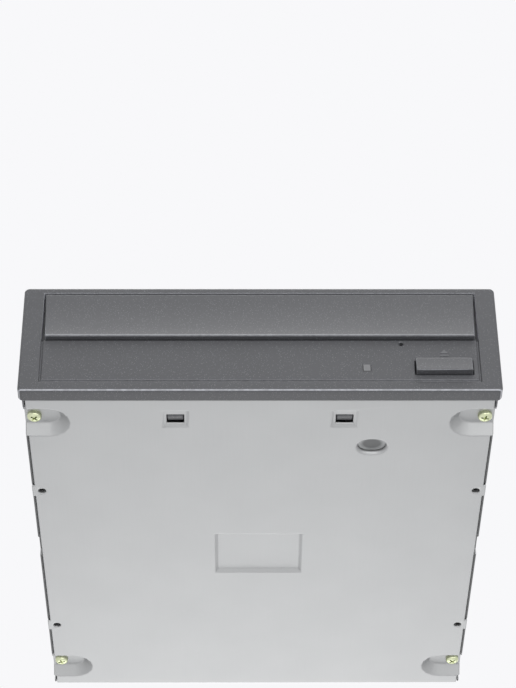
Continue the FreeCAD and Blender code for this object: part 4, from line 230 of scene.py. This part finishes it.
def begin(name, **sockets):
    """New material, its node tree, its shader and the object's coordinates."""
    material = bpy.data.materials.new(name)
    material.use_nodes = True
    tree = material.node_tree
    shader = tree.nodes["Principled BSDF"]
    for socket, value in sockets.items():
        shader.inputs[socket.replace("_", " ")].default_value = value
    place = add(tree, "ShaderNodeTexCoord").outputs["Object"]
    return material, tree, shader, place


def connect(tree, shader, **sockets):
    """Feed the shader from the outputs of nodes."""
    for socket, output in sockets.items():
        tree.links.new(output, shader.inputs[socket.replace("_", " ")])


def drift(tree, place, size, detail, dark, light):
    """Noise with clouds of a size in millimetres, and the colour that drifts with it between two others."""
    noise = add(tree, "ShaderNodeTexNoise", {"Vector": place, "Scale": per_mm(size), "Detail": detail}).outputs[0]
    colour = add(tree, "ShaderNodeMix", {0: noise, 6: dark, 7: light}, data_type="RGBA").outputs[2]
    return noise, colour


def zinc_coated_sheet(name, colour, sheared):
    """Electro-galvanised sheet steel, cold rolled and then pressed.

    The coating hides the steel's shine: an even pale grey with hair-fine rolling lines from front to rear, a faint
    cloudiness and soft, wide reflections. Where the sheet was sheared after the coating, the faces that face down,
    the cut edges among them, are painted much darker: partly bare steel, partly painted shade.
    """
    cloud_size = 22.0
    # rolling lines are about 0.1 mm apart; they are drawn at 0.5 mm, so that they show at all
    line_gap, line_squeeze = 0.5, 0.025
    material, tree, shader, place = begin(name, Metallic=1.0)
    rolled = add(tree, "ShaderNodeMapping", {"Vector": place, "Scale": (1.0, line_squeeze, 1.0)}).outputs[0]
    lines = add(tree, "ShaderNodeTexNoise", {"Vector": rolled, "Scale": per_mm(line_gap), "Detail": 4.0}).outputs[0]
    coat = drift(tree, place, cloud_size, 3.0, shade(colour, 0.955), shade(colour, 1.04))[1]
    tone = add(tree, "ShaderNodeMapRange", {"Value": lines, "From Min": 0.3, "From Max": 0.7,
                                           "To Min": 0.975, "To Max": 1.02}).outputs[0]
    skin = add(tree, "ShaderNodeMix", {0: 1.0, 6: coat, 7: tone}, data_type="RGBA",
               blend_type="MULTIPLY").outputs[2]
    if sheared:
        # faces that face down are painted much darker: partly bare cut edges, partly painted shade
        facing = add(tree, "ShaderNodeSeparateXYZ", {0: add(tree, "ShaderNodeTexCoord").outputs["Normal"]})
        bare_and_shaded = add(tree, "ShaderNodeMapRange", {"Value": facing.outputs["Z"], "From Min": -0.6, "From Max": -0.9})
        skin = add(tree, "ShaderNodeMix", {0: bare_and_shaded.outputs[0], 6: skin, 7: shade(colour, 0.3)},
                   data_type="RGBA").outputs[2]
    dull = add(tree, "ShaderNodeMapRange", {"Value": lines, "To Min": 0.46, "To Max": 0.58})
    relief = add(tree, "ShaderNodeBump", {"Height": lines, "Distance": 0.004 * MM, "Strength": 0.35})
    connect(tree, shader, Base_Color=skin, Roughness=dull.outputs[0], Normal=relief.outputs[0])
    return material


def lit_and_worn_places(tree, place, highlight_and_wear):
    """Mask of painted highlights and painted light on a moulding, partly wear, from 0 to 1.

    Rounded edges are painted paler, unevenly, as painted highlights that are partly wear: the lower edge of the
    bezel's front all along, and less those that stand out in front of the bezel or face down there. The roof and the
    jambs of the tray door's opening are painted paler as well: painted light in the shade of the gap.
    """
    patch_size = 1.4
    wall_depth = 0.3 * MM
    front, foot = BEZEL_LOW.y, BEZEL_LOW.z
    half_opening = (DOOR_HIGH.x - DOOR_LOW.x) / 2 + DOOR_GAP
    facing = add(tree, "ShaderNodeSeparateXYZ", {0: add(tree, "ShaderNodeTexCoord").outputs["Normal"]}).outputs
    spot = add(tree, "ShaderNodeSeparateXYZ", {0: place}).outputs
    patchiness = add(tree, "ShaderNodeTexNoise", {"Vector": place, "Scale": per_mm(patch_size), "Detail": 3.0})
    along_x, along_y, along_z = (add(tree, "ShaderNodeMath", {0: facing[axis]}, operation="ABSOLUTE").outputs[0]
                                 for axis in "XYZ")
    wide = add(tree, "ShaderNodeMath", {0: along_x, 1: along_y}, operation="MAXIMUM")
    squarest = add(tree, "ShaderNodeMath", {0: wide.outputs[0], 1: along_z}, operation="MAXIMUM").outputs[0]
    across = add(tree, "ShaderNodeMath", {0: spot["X"], 1: (DOOR_LOW.x + DOOR_HIGH.x) / 2}, operation="SUBTRACT")
    aside = add(tree, "ShaderNodeMath", {0: across.outputs[0]}, operation="ABSOLUTE")
    beside = add(tree, "ShaderNodeMath", {0: aside.outputs[0], 1: half_opening, 2: wall_depth}, operation="COMPARE")
    uneven = add(tree, "ShaderNodeMapRange", {"Value": patchiness.outputs[0], "From Min": 0.4, "From Max": 0.6,
                                             "To Min": 0.66 * highlight_and_wear, "To Max": highlight_and_wear})
    mask = {"beside_door": beside.outputs[0], "uneven": uneven.outputs[0]}
    # what is measured, where the mask begins, where it is full, and how much that is
    ramps = {
        "rounded": (squarest, 0.985, 0.93, 1.0),
        "proud": (spot["Y"], front - 0.3 * MM, front - 0.8 * MM, 0.45),
        "lower_edge": (spot["Z"], foot + 0.75 * MM, foot + 0.55 * MM, 1.0),
        "off_underside": (spot["Z"], foot + 0.2 * MM, foot + 0.35 * MM, 1.0),
        "facing_down": (facing["Z"], -0.2, -0.6, 0.3),
        "facing_aside": (along_x, 0.6, 0.9, 0.9),
        "at_front": (spot["Y"], front + 3.5 * MM, front + 2.5 * MM, 1.0),
        "over_door": (spot["Z"], DOOR_HIGH.z + 0.05 * MM, DOOR_HIGH.z + 0.2 * MM, 1.4),
        "above_sill": (spot["Z"], DOOR_LOW.z, DOOR_LOW.z + 0.3 * MM, 1.0),
    }
    for name, (measured, none, full, most) in ramps.items():
        mask[name] = add(tree, "ShaderNodeMapRange", {"Value": measured, "From Min": none, "From Max": full,
                                                     "To Max": most}).outputs[0]
    # each place from two others: both of them, or whichever is painted paler
    both, either = "MULTIPLY", "MAXIMUM"
    joins = (
        ("chins", "facing_down", both, "at_front"),
        ("standing_out", "proud", either, "chins"),
        ("highlight_places", "standing_out", either, "lower_edge"),
        ("highlight_above_underside", "highlight_places", both, "off_underside"),
        # rounded edges painted paler: painted highlights, partly wear
        ("rounded_off", "highlight_above_underside", both, "rounded"),
        ("edges", "rounded_off", both, "uneven"),
        # roof and jambs of the door's opening painted paler: painted light in the shade of the gap
        ("roof", "chins", both, "over_door"),
        ("walls", "facing_aside", both, "at_front"),
        ("gaps", "beside_door", both, "above_sill"),
        ("jambs", "walls", both, "gaps"),
        ("opening", "roof", either, "jambs"),
        ("lit_and_worn", "edges", either, "opening"),
    )
    for name, one, join, other in joins:
        mask[name] = add(tree, "ShaderNodeMath", {0: mask[one], 1: mask[other]}, operation=join).outputs[0]
    return mask["lit_and_worn"]


def spark_eroded_abs(name, colour, grit, roughness, highlight_and_wear):
    """ABS moulded in a spark-eroded tool, with a grit of a size in millimetres.

    The tool leaves a fine even grit that scatters the light: a dull surface with tiny flecks painted paler, painted
    glints where a grain would face the lamp, and slow changes of tone where the melt met. Rounded edges and the walls
    of the tray door's opening are painted much paler and are smoother: painted highlights and painted light in the
    shade of the gap, partly wear where the grit is rubbed off.
    """
    melt_size, fleck_gap = 16.0, 1.9 * grit
    lit_and_worn_shade, rubbed_roughness = 6.5, 0.28
    material, tree, shader, place = begin(name, IOR=1.53)
    grain = add(tree, "ShaderNodeTexNoise", {"Vector": place, "Scale": per_mm(grit), "Detail": 3.0,
                                            "Roughness": 0.65}).outputs[0]
    fleck = add(tree, "ShaderNodeTexVoronoi", {"Vector": place, "Scale": per_mm(fleck_gap)})
    melt = drift(tree, place, melt_size, 2.0, shade(colour, 0.93), shade(colour, 1.07))[1]
    # flecks painted paler: painted glints
    bright = add(tree, "ShaderNodeMapRange", {"Value": fleck.outputs["Distance"], "From Min": 0.05,
                                             "From Max": 0.26, "To Min": 2.8, "To Max": 0.93})
    melt_and_glints = add(tree, "ShaderNodeMix", {0: 1.0, 6: melt, 7: bright.outputs[0]}, data_type="RGBA",
                 blend_type="MULTIPLY")
    lit_and_worn = lit_and_worn_places(tree, place, highlight_and_wear)
    # painted highlights and painted light, partly wear, make the colour much paler where the mask is full
    skin = add(tree, "ShaderNodeMix", {0: lit_and_worn, 6: melt_and_glints.outputs[2], 7: shade(colour, lit_and_worn_shade)},
               data_type="RGBA")
    dull = add(tree, "ShaderNodeMapRange", {"Value": grain, "From Min": 0.3, "From Max": 0.7,
                                           "To Min": roughness - 0.07, "To Max": roughness + 0.07})
    smooth = add(tree, "ShaderNodeMix", {0: lit_and_worn, 2: dull.outputs[0], 3: rubbed_roughness}, data_type="FLOAT")
    relief = add(tree, "ShaderNodeBump", {"Height": grain, "Distance": 0.09 * grit * MM, "Strength": 0.6})
    connect(tree, shader, Base_Color=skin.outputs[2], Roughness=smooth.outputs[0], Normal=relief.outputs[0])
    return material


def turned_metal(name, colour, roughness, pitch):
    """Steel, aluminium or bronze that was ground, drawn or cast, with marks of a pitch in millimetres.

    The marks make the shine and the tone finely uneven.
    """
    material, tree, shader, place = begin(name, Metallic=1.0)
    marks, tone = drift(tree, place, pitch, 4.0, shade(colour, 0.9), shade(colour, 1.08))
    dull = add(tree, "ShaderNodeMapRange", {"Value": marks, "To Min": roughness - 0.06, "To Max": roughness + 0.1})
    relief = add(tree, "ShaderNodeBump", {"Height": marks, "Distance": 0.006 * MM, "Strength": 0.3})
    connect(tree, shader, Base_Color=tone, Roughness=dull.outputs[0], Normal=relief.outputs[0])
    return material


def phosphated_steel(name, colour, middle, reach):
    """Phosphated can of a small motor.

    A dull grey coating without shine. The middle of its end is painted darker and its rim much paler, out to a soft
    limit: painted shade and painted light of the port it shows through.
    """
    crystal_size = 0.6
    material, tree, shader, place = begin(name, Metallic=1.0, Roughness=0.62)
    scale = (1 / reach[0], 1 / reach[1], 0.0)
    from_middle = add(tree, "ShaderNodeMapping", {"Vector": place, "Scale": scale,
                                                 "Location": (-middle.x * scale[0], -middle.y * scale[1], 0.0)})
    away = add(tree, "ShaderNodeVectorMath", {0: from_middle.outputs[0]}, operation="LENGTH")
    toward_rim = add(tree, "ShaderNodeMapRange", {"Value": away.outputs["Value"], "From Min": 0.58, "From Max": 0.95})
    crystals = add(tree, "ShaderNodeTexNoise", {"Vector": place, "Scale": per_mm(crystal_size), "Detail": 4.0})
    # painted shade in the middle of the end, painted light toward its rim
    painted_shade_and_light = add(tree, "ShaderNodeMix", {0: toward_rim.outputs[0], 6: shade(colour, 0.9), 7: shade(colour, 2.5)},
                data_type="RGBA")
    tone = add(tree, "ShaderNodeMapRange", {"Value": crystals.outputs[0], "To Min": 0.9, "To Max": 1.08})
    skin = add(tree, "ShaderNodeMix", {0: 1.0, 6: painted_shade_and_light.outputs[2], 7: tone.outputs[0]}, data_type="RGBA",
               blend_type="MULTIPLY")
    connect(tree, shader, Base_Color=skin.outputs[2])
    return material


def passivated_zinc(name, colour):
    """Zinc plating with a yellow passivation.

    A thin film over bright metal: pale straw that drifts to green.
    """
    film_size = 1.6
    material, tree, shader, place = begin(name, Metallic=1.0)
    green = (colour[0] * 0.88, colour[1] * 0.96, colour[2] * 0.8)
    film, tone = drift(tree, place, film_size, 3.0, shade(green, 0.92), shade(colour, 1.05))
    dull = add(tree, "ShaderNodeMapRange", {"Value": film, "To Min": 0.24, "To Max": 0.42})
    connect(tree, shader, Base_Color=tone, Roughness=dull.outputs[0])
    return material


def plain_moulding(name, colour, roughness, peel_size, ior):
    """Moulding, film, rubber or pressed powder from a smooth tool.

    A clean skin with slow changes of tone and a little orange peel, of a size in millimetres.
    """
    cloud_size = 9.0
    material, tree, shader, place = begin(name, IOR=ior)
    peel = add(tree, "ShaderNodeTexNoise", {"Vector": place, "Scale": per_mm(peel_size), "Detail": 2.0}).outputs[0]
    tone = drift(tree, place, cloud_size, 2.0, shade(colour, 0.94), shade(colour, 1.05))[1]
    dull = add(tree, "ShaderNodeMapRange", {"Value": peel, "To Min": roughness - 0.05, "To Max": roughness + 0.05})
    relief = add(tree, "ShaderNodeBump", {"Height": peel, "Distance": 0.01 * MM, "Strength": 0.3})
    connect(tree, shader, Base_Color=tone, Roughness=dull.outputs[0], Normal=relief.outputs[0])
    return material


def solder_mask(name, colour):
    """Epoxy board under green solder mask.

    Copper tracks show through the coating as paler lines, and the glass weave as a fine relief.
    """
    track_gap, weave_size = 9.0, 0.6
    material, tree, shader, place = begin(name, Roughness=0.32, IOR=1.5)
    tracks = add(tree, "ShaderNodeTexBrick", {"Vector": place, "Scale": per_mm(track_gap), "Mortar Size": 0.03,
                                             "Color1": shade(colour, 0.85), "Color2": shade(colour, 1.0),
                                             "Mortar": shade(colour, 1.5)})
    weave = add(tree, "ShaderNodeTexNoise", {"Vector": place, "Scale": per_mm(weave_size), "Detail": 2.0})
    relief = add(tree, "ShaderNodeBump", {"Height": weave.outputs[0], "Distance": 0.01 * MM, "Strength": 0.3})
    connect(tree, shader, Base_Color=tracks.outputs[0], Normal=relief.outputs[0])
    return material


def coated_glass(name, colour):
    """Moulded lens glass with an anti-reflex coating, which leaves a violet cast."""
    film_size = 3.0
    material, tree, shader, place = begin(name, Roughness=0.03, IOR=1.58, Transmission_Weight=1.0)
    tone = drift(tree, place, film_size, 1.0, shade(colour, 0.95), shade(colour, 1.05))[1]
    connect(tree, shader, Base_Color=tone)
    return material


def in_slots(*slots):
    """CAD nodes that the record gives one of these material slots."""
    return [node for node, slot in SLOT_OF.items() if slot in slots]


def dress(names, material):
    """Give CAD nodes a finish."""
    for name in names:
        NODES[name].data.materials.clear()
        NODES[name].data.materials.append(material)


def ease_edges(names, radius):
    """Round the sharp edges of CAD nodes a little, so that they catch the light as made edges do."""
    for name in names:
        node = NODES[name]
        node.data.shade_smooth()
        weld = node.modifiers.new("seams", "WELD")
        weld.merge_threshold = SEAM
        bevel = node.modifiers.new("edges", "BEVEL")
        bevel.width = radius
        bevel.segments = EDGE_STEPS
        bevel.limit_method = "ANGLE"
        bevel.angle_limit = SHARP_FOLD
        bevel.use_clamp_overlap = False
        bevel.loop_slide = False
        shading = node.modifiers.new("shading", "WEIGHTED_NORMAL")
        shading.weight = FLAT_FACE_WEIGHT


def as_mesh(name, shape):
    """Mesh from a finished bmesh."""
    mesh = bpy.data.meshes.new(name)
    shape.to_mesh(mesh)
    shape.free()
    return mesh


def mesh_piece(name, mesh, material, body):
    """Object of a new mesh that moves with a body."""
    mesh.materials.clear()
    mesh.materials.append(material)
    piece = bpy.data.objects.new(name, mesh)
    bpy.context.scene.collection.objects.link(piece)
    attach(piece, body)
    return piece


def lathe(rows, sides):
    """Closed shape turned about z from (radius, height) rows that start and end on the axis."""
    shape = bmesh.new()
    tip = shape.verts.new((0, 0, rows[0][1]))
    tail = shape.verts.new((0, 0, rows[-1][1]))
    turn = [2 * math.pi * i / sides for i in range(sides)]
    hoops = [[shape.verts.new((radius * math.cos(a), radius * math.sin(a), height)) for a in turn]
             for radius, height in rows[1:-1]]
    for i in range(sides):
        j = (i + 1) % sides
        shape.faces.new((tip, hoops[0][i], hoops[0][j]))
        shape.faces.new((tail, hoops[-1][j], hoops[-1][i]))
        for low, high in zip(hoops, hoops[1:]):
            shape.faces.new((low[i], high[i], high[j], low[j]))
    bmesh.ops.recalc_face_normals(shape, faces=shape.faces)
    return shape


def screw_blank(sizes):
    """Pan head and shank of a cover screw, head down, without its recess."""
    head, shank = sizes.screw_head, sizes.screw_shank
    length = SCREWS_HIGH.z - SCREWS_LOW.z
    rows = [(share * head, level * sizes.screw_head_height) for share, level in PAN_PROFILE]
    rows += [(shank, sizes.screw_head_height), (shank, SHANK_TAPER_START * length), (SHANK_TIP * shank, length),
             (0, length)]
    return as_mesh("screw_blank", lathe(rows, SCREW_SIDES))


def cross_recess(sizes):
    """Cutter for the cross recess: two crossed bars that narrow with depth."""
    length, width = 2 * sizes.recess_reach, 2 * RECESS_BAR_WIDTH * sizes.recess_reach
    cross = bmesh.new()
    for quarter in (0, math.pi / 2):
        bar = bmesh.ops.create_cube(cross, size=1.0)["verts"]
        for vert in bar:
            along, over, level = ((RECESS_FOOT_LENGTH, RECESS_FOOT_WIDTH, RECESS_DEPTH) if vert.co.z > 0
                                  else (1.0, 1.0, RECESS_MOUTH))
            vert.co = Vector((vert.co.x * length * along, vert.co.y * width * over,
                              level * sizes.screw_head_height))
        bmesh.ops.rotate(cross, verts=bar, matrix=Matrix.Rotation(quarter, 3, "Z"))
    return as_mesh("cross_recess", cross)


def cut_mesh(context, blank, cutter):
    """Mesh of a blank with a cutter taken out of it."""
    kept, taken = (bpy.data.objects.new(mesh.name, mesh) for mesh in (blank, cutter))
    for made in (kept, taken):
        context.scene.collection.objects.link(made)
    recess = kept.modifiers.new("recess", "BOOLEAN")
    recess.object = taken
    recess.solver = "EXACT"
    recess.use_self = True
    context.view_layer.update()
    mesh = bpy.data.meshes.new_from_object(kept.evaluated_get(context.evaluated_depsgraph_get()))
    for made in (kept, taken):
        bpy.data.objects.remove(made)
    return mesh


def lay_floor(scene, pale):
    """Floor of matt paper under the drive, seen only from above, so that the drive shows from below too."""
    plane = bmesh.new()
    bmesh.ops.create_grid(plane, x_segments=1, y_segments=1, size=FLOOR_REACH)
    mesh = as_mesh("studio_floor", plane)
    floor = bpy.data.objects.new("studio_floor", mesh)
    floor.location.z = CAD_BOX[0].z - FLOOR_GAP
    scene.collection.objects.link(floor)
    paper = bpy.data.materials.new("pale_paper")
    paper.use_nodes = True
    tree = paper.node_tree
    tree.nodes.clear()
    rays = add(tree, "ShaderNodeLightPath")
    side = add(tree, "ShaderNodeNewGeometry")
    above = add(tree, "ShaderNodeMath", {0: rays.outputs["Is Camera Ray"], 1: side.outputs["Backfacing"]},
                operation="SUBTRACT", use_clamp=True)
    # the paper ends softly in the backdrop
    away = add(tree, "ShaderNodeVectorMath", {0: add(tree, "ShaderNodeTexCoord").outputs["Object"]},
               operation="LENGTH")
    near = add(tree, "ShaderNodeMapRange", {"Value": away.outputs["Value"], "From Min": PAPER_FADE_START,
                                           "From Max": PAPER_FADE_END, "To Min": 1.0, "To Max": 0.0})
    shown = add(tree, "ShaderNodeMath", {0: above.outputs[0], 1: near.outputs[0]}, operation="MULTIPLY")
    matt = add(tree, "ShaderNodeBsdfDiffuse", {"Color": pale})
    clear = add(tree, "ShaderNodeBsdfTransparent")
    mixed = add(tree, "ShaderNodeMixShader", {0: shown.outputs[0], 1: clear.outputs[0], 2: matt.outputs[0]})
    add(tree, "ShaderNodeOutputMaterial", {"Surface": mixed.outputs[0]})
    mesh.materials.append(paper)


def light_backdrop(scene, pale, ambient):
    """Pale backdrop that is seen and mirrored at full strength, and lights the drive with a share of it."""
    world = bpy.data.worlds.new("studio")
    scene.world = world
    world.use_nodes = True
    tree = world.node_tree
    tree.nodes.clear()
    rays = add(tree, "ShaderNodeLightPath")
    seen = add(tree, "ShaderNodeMath", {0: rays.outputs["Is Camera Ray"], 1: rays.outputs["Is Glossy Ray"]},
               operation="MAXIMUM")
    through = add(tree, "ShaderNodeMath", {0: seen.outputs[0], 1: rays.outputs["Is Transmission Ray"]},
                  operation="MAXIMUM")
    level = add(tree, "ShaderNodeMapRange", {"Value": through.outputs[0], "To Min": ambient, "To Max": 1.0})
    sky = add(tree, "ShaderNodeBackground", {"Color": pale, "Strength": level.outputs[0]})
    add(tree, "ShaderNodeOutputWorld", {"Surface": sky.outputs[0]})


def hang_softboxes(scene, power):
    """Softboxes round the drive, turned to its middle."""
    middle = (CAD_BOX[0] + CAD_BOX[1]) / 2
    for name, place, width, share in SOFTBOXES:
        offset = Vector(place)
        lamp = bpy.data.lights.new(name, "AREA")
        lamp.shape = "RECTANGLE"
        lamp.size = width
        lamp.size_y = SOFTBOX_HEIGHT * width
        lamp.energy = power * share
        box = bpy.data.objects.new(name, lamp)
        box.location = middle + offset
        box.rotation_euler = (-offset).to_track_quat("-Z", "Y").to_euler()
        scene.collection.objects.link(box)


def set_camera(scene, stage):
    """Camera in front of the drive and below it, with the bezel at the top of the picture."""
    camera = bpy.data.cameras.new("photo_camera")
    camera.sensor_width = SENSOR_WIDTH
    camera.lens = stage.lens
    camera.clip_start = CLIP_START
    view = bpy.data.objects.new("photo_camera", camera)
    right = Vector((1, 0, 0))
    ahead = Vector((0, math.sin(stage.pitch), math.cos(stage.pitch)))
    up = Vector((0, -math.cos(stage.pitch), math.sin(stage.pitch)))
    ahead, right = (math.cos(stage.yaw) * ahead + math.sin(stage.yaw) * right,
                    math.cos(stage.yaw) * right - math.sin(stage.yaw) * ahead)
    axes = Matrix((right, up, -ahead)).transposed().to_4x4()
    view.matrix_world = Matrix.Translation(Vector(stage.eye)) @ axes
    scene.collection.objects.link(view)
    scene.camera = view


class DRIVE_OT_casing(bpy.types.Operator):
    """Finish the folded covers and the other pressed steel pieces"""

    bl_idname = "disc_drive.casing"
    bl_label = "Sheet-steel casing"

    def execute(self, context):
        colour = tuple(context.scene.drive_finishes.steel)
        dress(in_slots("covers"), zinc_coated_sheet("zinc_coated_sheet_steel", colour, sheared=False))
        dress(("top_cover",), zinc_coated_sheet("sheared_zinc_coated_sheet_steel", colour, sheared=True))
        ease_edges(("bottom_cover", "top_cover"), context.scene.drive_sizes.sheet_edge)
        return {"FINISHED"}


class DRIVE_OT_front(bpy.types.Operator):
    """Finish the bezel, tray door, eject button and light window"""

    bl_idname = "disc_drive.front"
    bl_label = "Front"

    def execute(self, context):
        finishes = context.scene.drive_finishes
        # the tool's grit is near 0.1 mm; it is drawn at 0.28 mm, so that it shows as a fine speckle
        skin = spark_eroded_abs("spark_eroded_charcoal_abs", tuple(finishes.bezel), grit=0.28, roughness=0.44,
                                highlight_and_wear=0.9)
        dress(in_slots("bezel"), skin)
        ease_edges(("front_bezel", "tray_door", "eject_button"), context.scene.drive_sizes.moulded_edge)
        milky = plain_moulding("milky_polycarbonate", tuple(finishes.window), roughness=0.22, peel_size=0.5, ior=1.58)
        dress(("light_pipe", "status_light"), milky)
        return {"FINISHED"}


class DRIVE_OT_mouldings(bpy.types.Operator):
    """Finish the tray, the loader frame and the other inner mouldings"""

    bl_idname = "disc_drive.mouldings"
    bl_label = "Tray and inner mouldings"

    def execute(self, context):
        finishes = context.scene.drive_finishes
        black = spark_eroded_abs("fine_grained_black_abs", tuple(finishes.moulding), grit=0.35, roughness=0.58,
                                 highlight_and_wear=0.2)
        dress(in_slots("tray", "frame"), black)
        ease_edges(("disc_tray", "rear_connector"), context.scene.drive_sizes.moulded_edge)
        acetal = plain_moulding("natural_acetal", tuple(finishes.acetal), roughness=0.38, peel_size=0.8, ior=1.48)
        dress(in_slots("acetal"), acetal)
        rubber = plain_moulding("black_nitrile_rubber", linear("1C1C1D"), roughness=0.75, peel_size=0.3, ior=1.52)
        dress(in_slots("rubber"), rubber)
        return {"FINISHED"}


class DRIVE_OT_mechanism(bpy.types.Operator):
    """Finish the motors, rods, spindle, pickup and lens"""

    bl_idname = "disc_drive.mechanism"
    bl_label = "Mechanism"

    def execute(self, context):
        zinc = tuple(context.scene.drive_finishes.zinc)
        finishes = {
            "steel": turned_metal("ground_steel", linear("C9CBCE"), roughness=0.2, pitch=0.4),
            "motor_can": turned_metal("drawn_plated_steel", linear("BDBEC0"), roughness=0.32, pitch=0.8),
            "diecast": turned_metal("die_cast_aluminium", linear("B4B6B8"), roughness=0.5, pitch=0.5),
            "ferrite": plain_moulding("sintered_ferrite", linear("3A3A3C"), roughness=0.6, peel_size=0.3, ior=1.9),
            "lens": coated_glass("coated_lens_glass", linear("C7CDEB")),
            "zinc_screw": passivated_zinc("yellow_passivated_zinc_inside", zinc),
        }
        for slot, material in finishes.items():
            dress(in_slots(slot), material)
        # the painted shade in the middle of the can's end, with painted light toward its rim, is a little wider than
        # long, and shows through the port in the bottom cover
        can = phosphated_steel("phosphated_steel", linear("7A7B7B"), middle=(MOTOR_LOW + MOTOR_HIGH) / 2,
                               reach=(4.4 * MM, 3.4 * MM))
        dress(("loading_motor",), can)
        return {"FINISHED"}


class DRIVE_OT_boards(bpy.types.Operator):
    """Finish the circuit boards, chips, connector contacts and flat cable"""

    bl_idname = "disc_drive.boards"
    bl_label = "Boards"

    def execute(self, context):
        finishes = {
            "board": solder_mask("green_solder_mask", tuple(context.scene.drive_finishes.mask)),
            "chip": plain_moulding("black_moulding_compound", linear("262627"), roughness=0.62, peel_size=0.25,
                                   ior=1.55),
            "contact": turned_metal("gold_flashed_bronze", linear("E6C56B"), roughness=0.25, pitch=0.5),
            "ribbon": plain_moulding("flat_cable_polyester", linear("E6E7EA"), roughness=0.3, peel_size=1.2, ior=1.6),
            "thermal": plain_moulding("silicone_thermal_pad", linear("9AA0AA"), roughness=0.7, peel_size=0.4,
                                      ior=1.42),
        }
        for slot, material in finishes.items():
            dress(in_slots(slot), material)
        return {"FINISHED"}


class DRIVE_OT_cover_screws(bpy.types.Operator):
    """Pan-head screws with a cross recess, in the four corner pockets"""

    bl_idname = "disc_drive.cover_screws"
    bl_label = "Cover screws"

    def execute(self, context):
        sizes = context.scene.drive_sizes
        screw = cut_mesh(context, screw_blank(sizes), cross_recess(sizes))
        # the solids' heads have flats, so their box ends a little inside the radius
        inset = sizes.screw_head * math.cos(math.pi / SOLID_HEAD_FLATS)
        places = [Vector((x, y, SCREWS_LOW.z)) for x in (SCREWS_LOW.x + inset, SCREWS_HIGH.x - inset)
                  for y in (SCREWS_LOW.y + inset, SCREWS_HIGH.y - inset)]
        four = bmesh.new()
        for i, place in enumerate(places):
            start = len(four.verts)
            four.from_mesh(screw)
            four.verts.ensure_lookup_table()
            turn = Matrix.Rotation(FIRST_SCREW_TURN + NEXT_SCREW_TURN * i, 4, "Z")
            bmesh.ops.transform(four, matrix=Matrix.Translation(place) @ turn, verts=four.verts[start:])
        mesh = as_mesh("cover_screws_pan_head", four)
        mesh.shade_smooth()
        mesh.set_sharp_from_angle(angle=SCREW_CREASE)
        zinc = passivated_zinc("yellow_passivated_zinc", tuple(context.scene.drive_finishes.zinc))
        piece = mesh_piece("cover_screws_pan_head", mesh, zinc, "chassis")
        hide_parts("cover_screws")
        return {"FINISHED"}


class DRIVE_OT_eject_mark(bpy.types.Operator):
    """Raised eject sign, a triangle over a bar, above the button"""

    bl_idname = "disc_drive.eject_mark"
    bl_label = "Eject mark"

    def execute(self, context):
        sizes = context.scene.drive_sizes
        width = sizes.mark_width
        centre = Vector(((BUTTON_LOW.x + BUTTON_HIGH.x) / 2 + MARK_ASIDE * width, BEZEL_LOW.y,
                         BUTTON_HIGH.z + MARK_OVER_BUTTON * width))
        sign = bmesh.new()
        for outline in (MARK_TRIANGLE, MARK_BAR):
            base = [sign.verts.new(centre + Vector((x * width, MARK_ROOT, z * width))) for x, z in outline]
            top = bmesh.ops.extrude_face_region(sign, geom=[sign.faces.new(base)])["geom"]
            lifted = [vert for vert in top if isinstance(vert, bmesh.types.BMVert)]
            bmesh.ops.translate(sign, verts=lifted, vec=(0, -sizes.mark_raise - MARK_ROOT, 0))
        bmesh.ops.recalc_face_normals(sign, faces=sign.faces)
        bmesh.ops.bevel(sign, geom=list(sign.edges), offset=MARK_EDGE, segments=2, affect="EDGES", profile=0.5)
        # the mark is painted paler than the bezel: a painted highlight for the light its raised top catches
        painted_highlight_abs = plain_moulding("highlit_charcoal_abs", linear("6F7073"), roughness=0.35, peel_size=0.3, ior=1.53)
        mesh_piece("eject_mark", as_mesh("eject_mark", sign), painted_highlight_abs, "chassis")
        return {"FINISHED"}


class DRIVE_OT_stage(bpy.types.Operator):
    """Pale floor, soft studio light and the camera"""

    bl_idname = "disc_drive.stage"
    bl_label = "Stage"

    def execute(self, context):
        scene, stage = context.scene, context.scene.drive_stage
        scene.view_settings.view_transform = "Standard"
        pale = tuple(stage.backdrop) + (1.0,)
        lay_floor(scene, pale)
        light_backdrop(scene, pale, stage.ambient)
        hang_softboxes(scene, stage.softbox_power)
        set_camera(scene, stage)
        return {"FINISHED"}


class DRIVE_PT_looks(bpy.types.Panel):
    """Steps that dress the drive"""

    bl_idname = "DRIVE_PT_looks"
    bl_label = "Optical disc drive"
    bl_space_type = "VIEW_3D"
    bl_region_type = "UI"
    bl_category = "Disc drive"

    def draw(self, context):
        for group in (context.scene.drive_sizes, context.scene.drive_finishes, context.scene.drive_stage):
            column = self.layout.column(align=True)
            for name in group.__annotations__:
                column.prop(group, name)
        for operator in OPERATORS:
            self.layout.operator(operator.bl_idname)


GROUPS = {"drive_sizes": DriveSizes, "drive_finishes": DriveFinishes, "drive_stage": DriveStage}
OPERATORS = (DRIVE_OT_casing, DRIVE_OT_front, DRIVE_OT_mouldings, DRIVE_OT_mechanism, DRIVE_OT_boards,
             DRIVE_OT_cover_screws, DRIVE_OT_eject_mark, DRIVE_OT_stage)


def register():
    """Add the classes and the settings to Blender."""
    for made in (*GROUPS.values(), *OPERATORS, DRIVE_PT_looks):
        bpy.utils.register_class(made)
    for name, group in GROUPS.items():
        setattr(bpy.types.Scene, name, bpy.props.PointerProperty(type=group))


def unregister():
    """Take the settings and the classes out again."""
    for name in GROUPS:
        delattr(bpy.types.Scene, name)
    for made in reversed((*GROUPS.values(), *OPERATORS, DRIVE_PT_looks)):
        bpy.utils.unregister_class(made)


def main():
    """Dress the drive."""
    register()
    bpy.ops.disc_drive.casing()
    bpy.ops.disc_drive.front()
    bpy.ops.disc_drive.mouldings()
    bpy.ops.disc_drive.mechanism()
    bpy.ops.disc_drive.boards()
    bpy.ops.disc_drive.cover_screws()
    bpy.ops.disc_drive.eject_mark()
    bpy.ops.disc_drive.stage()


if __name__ == "__main__":
    main()
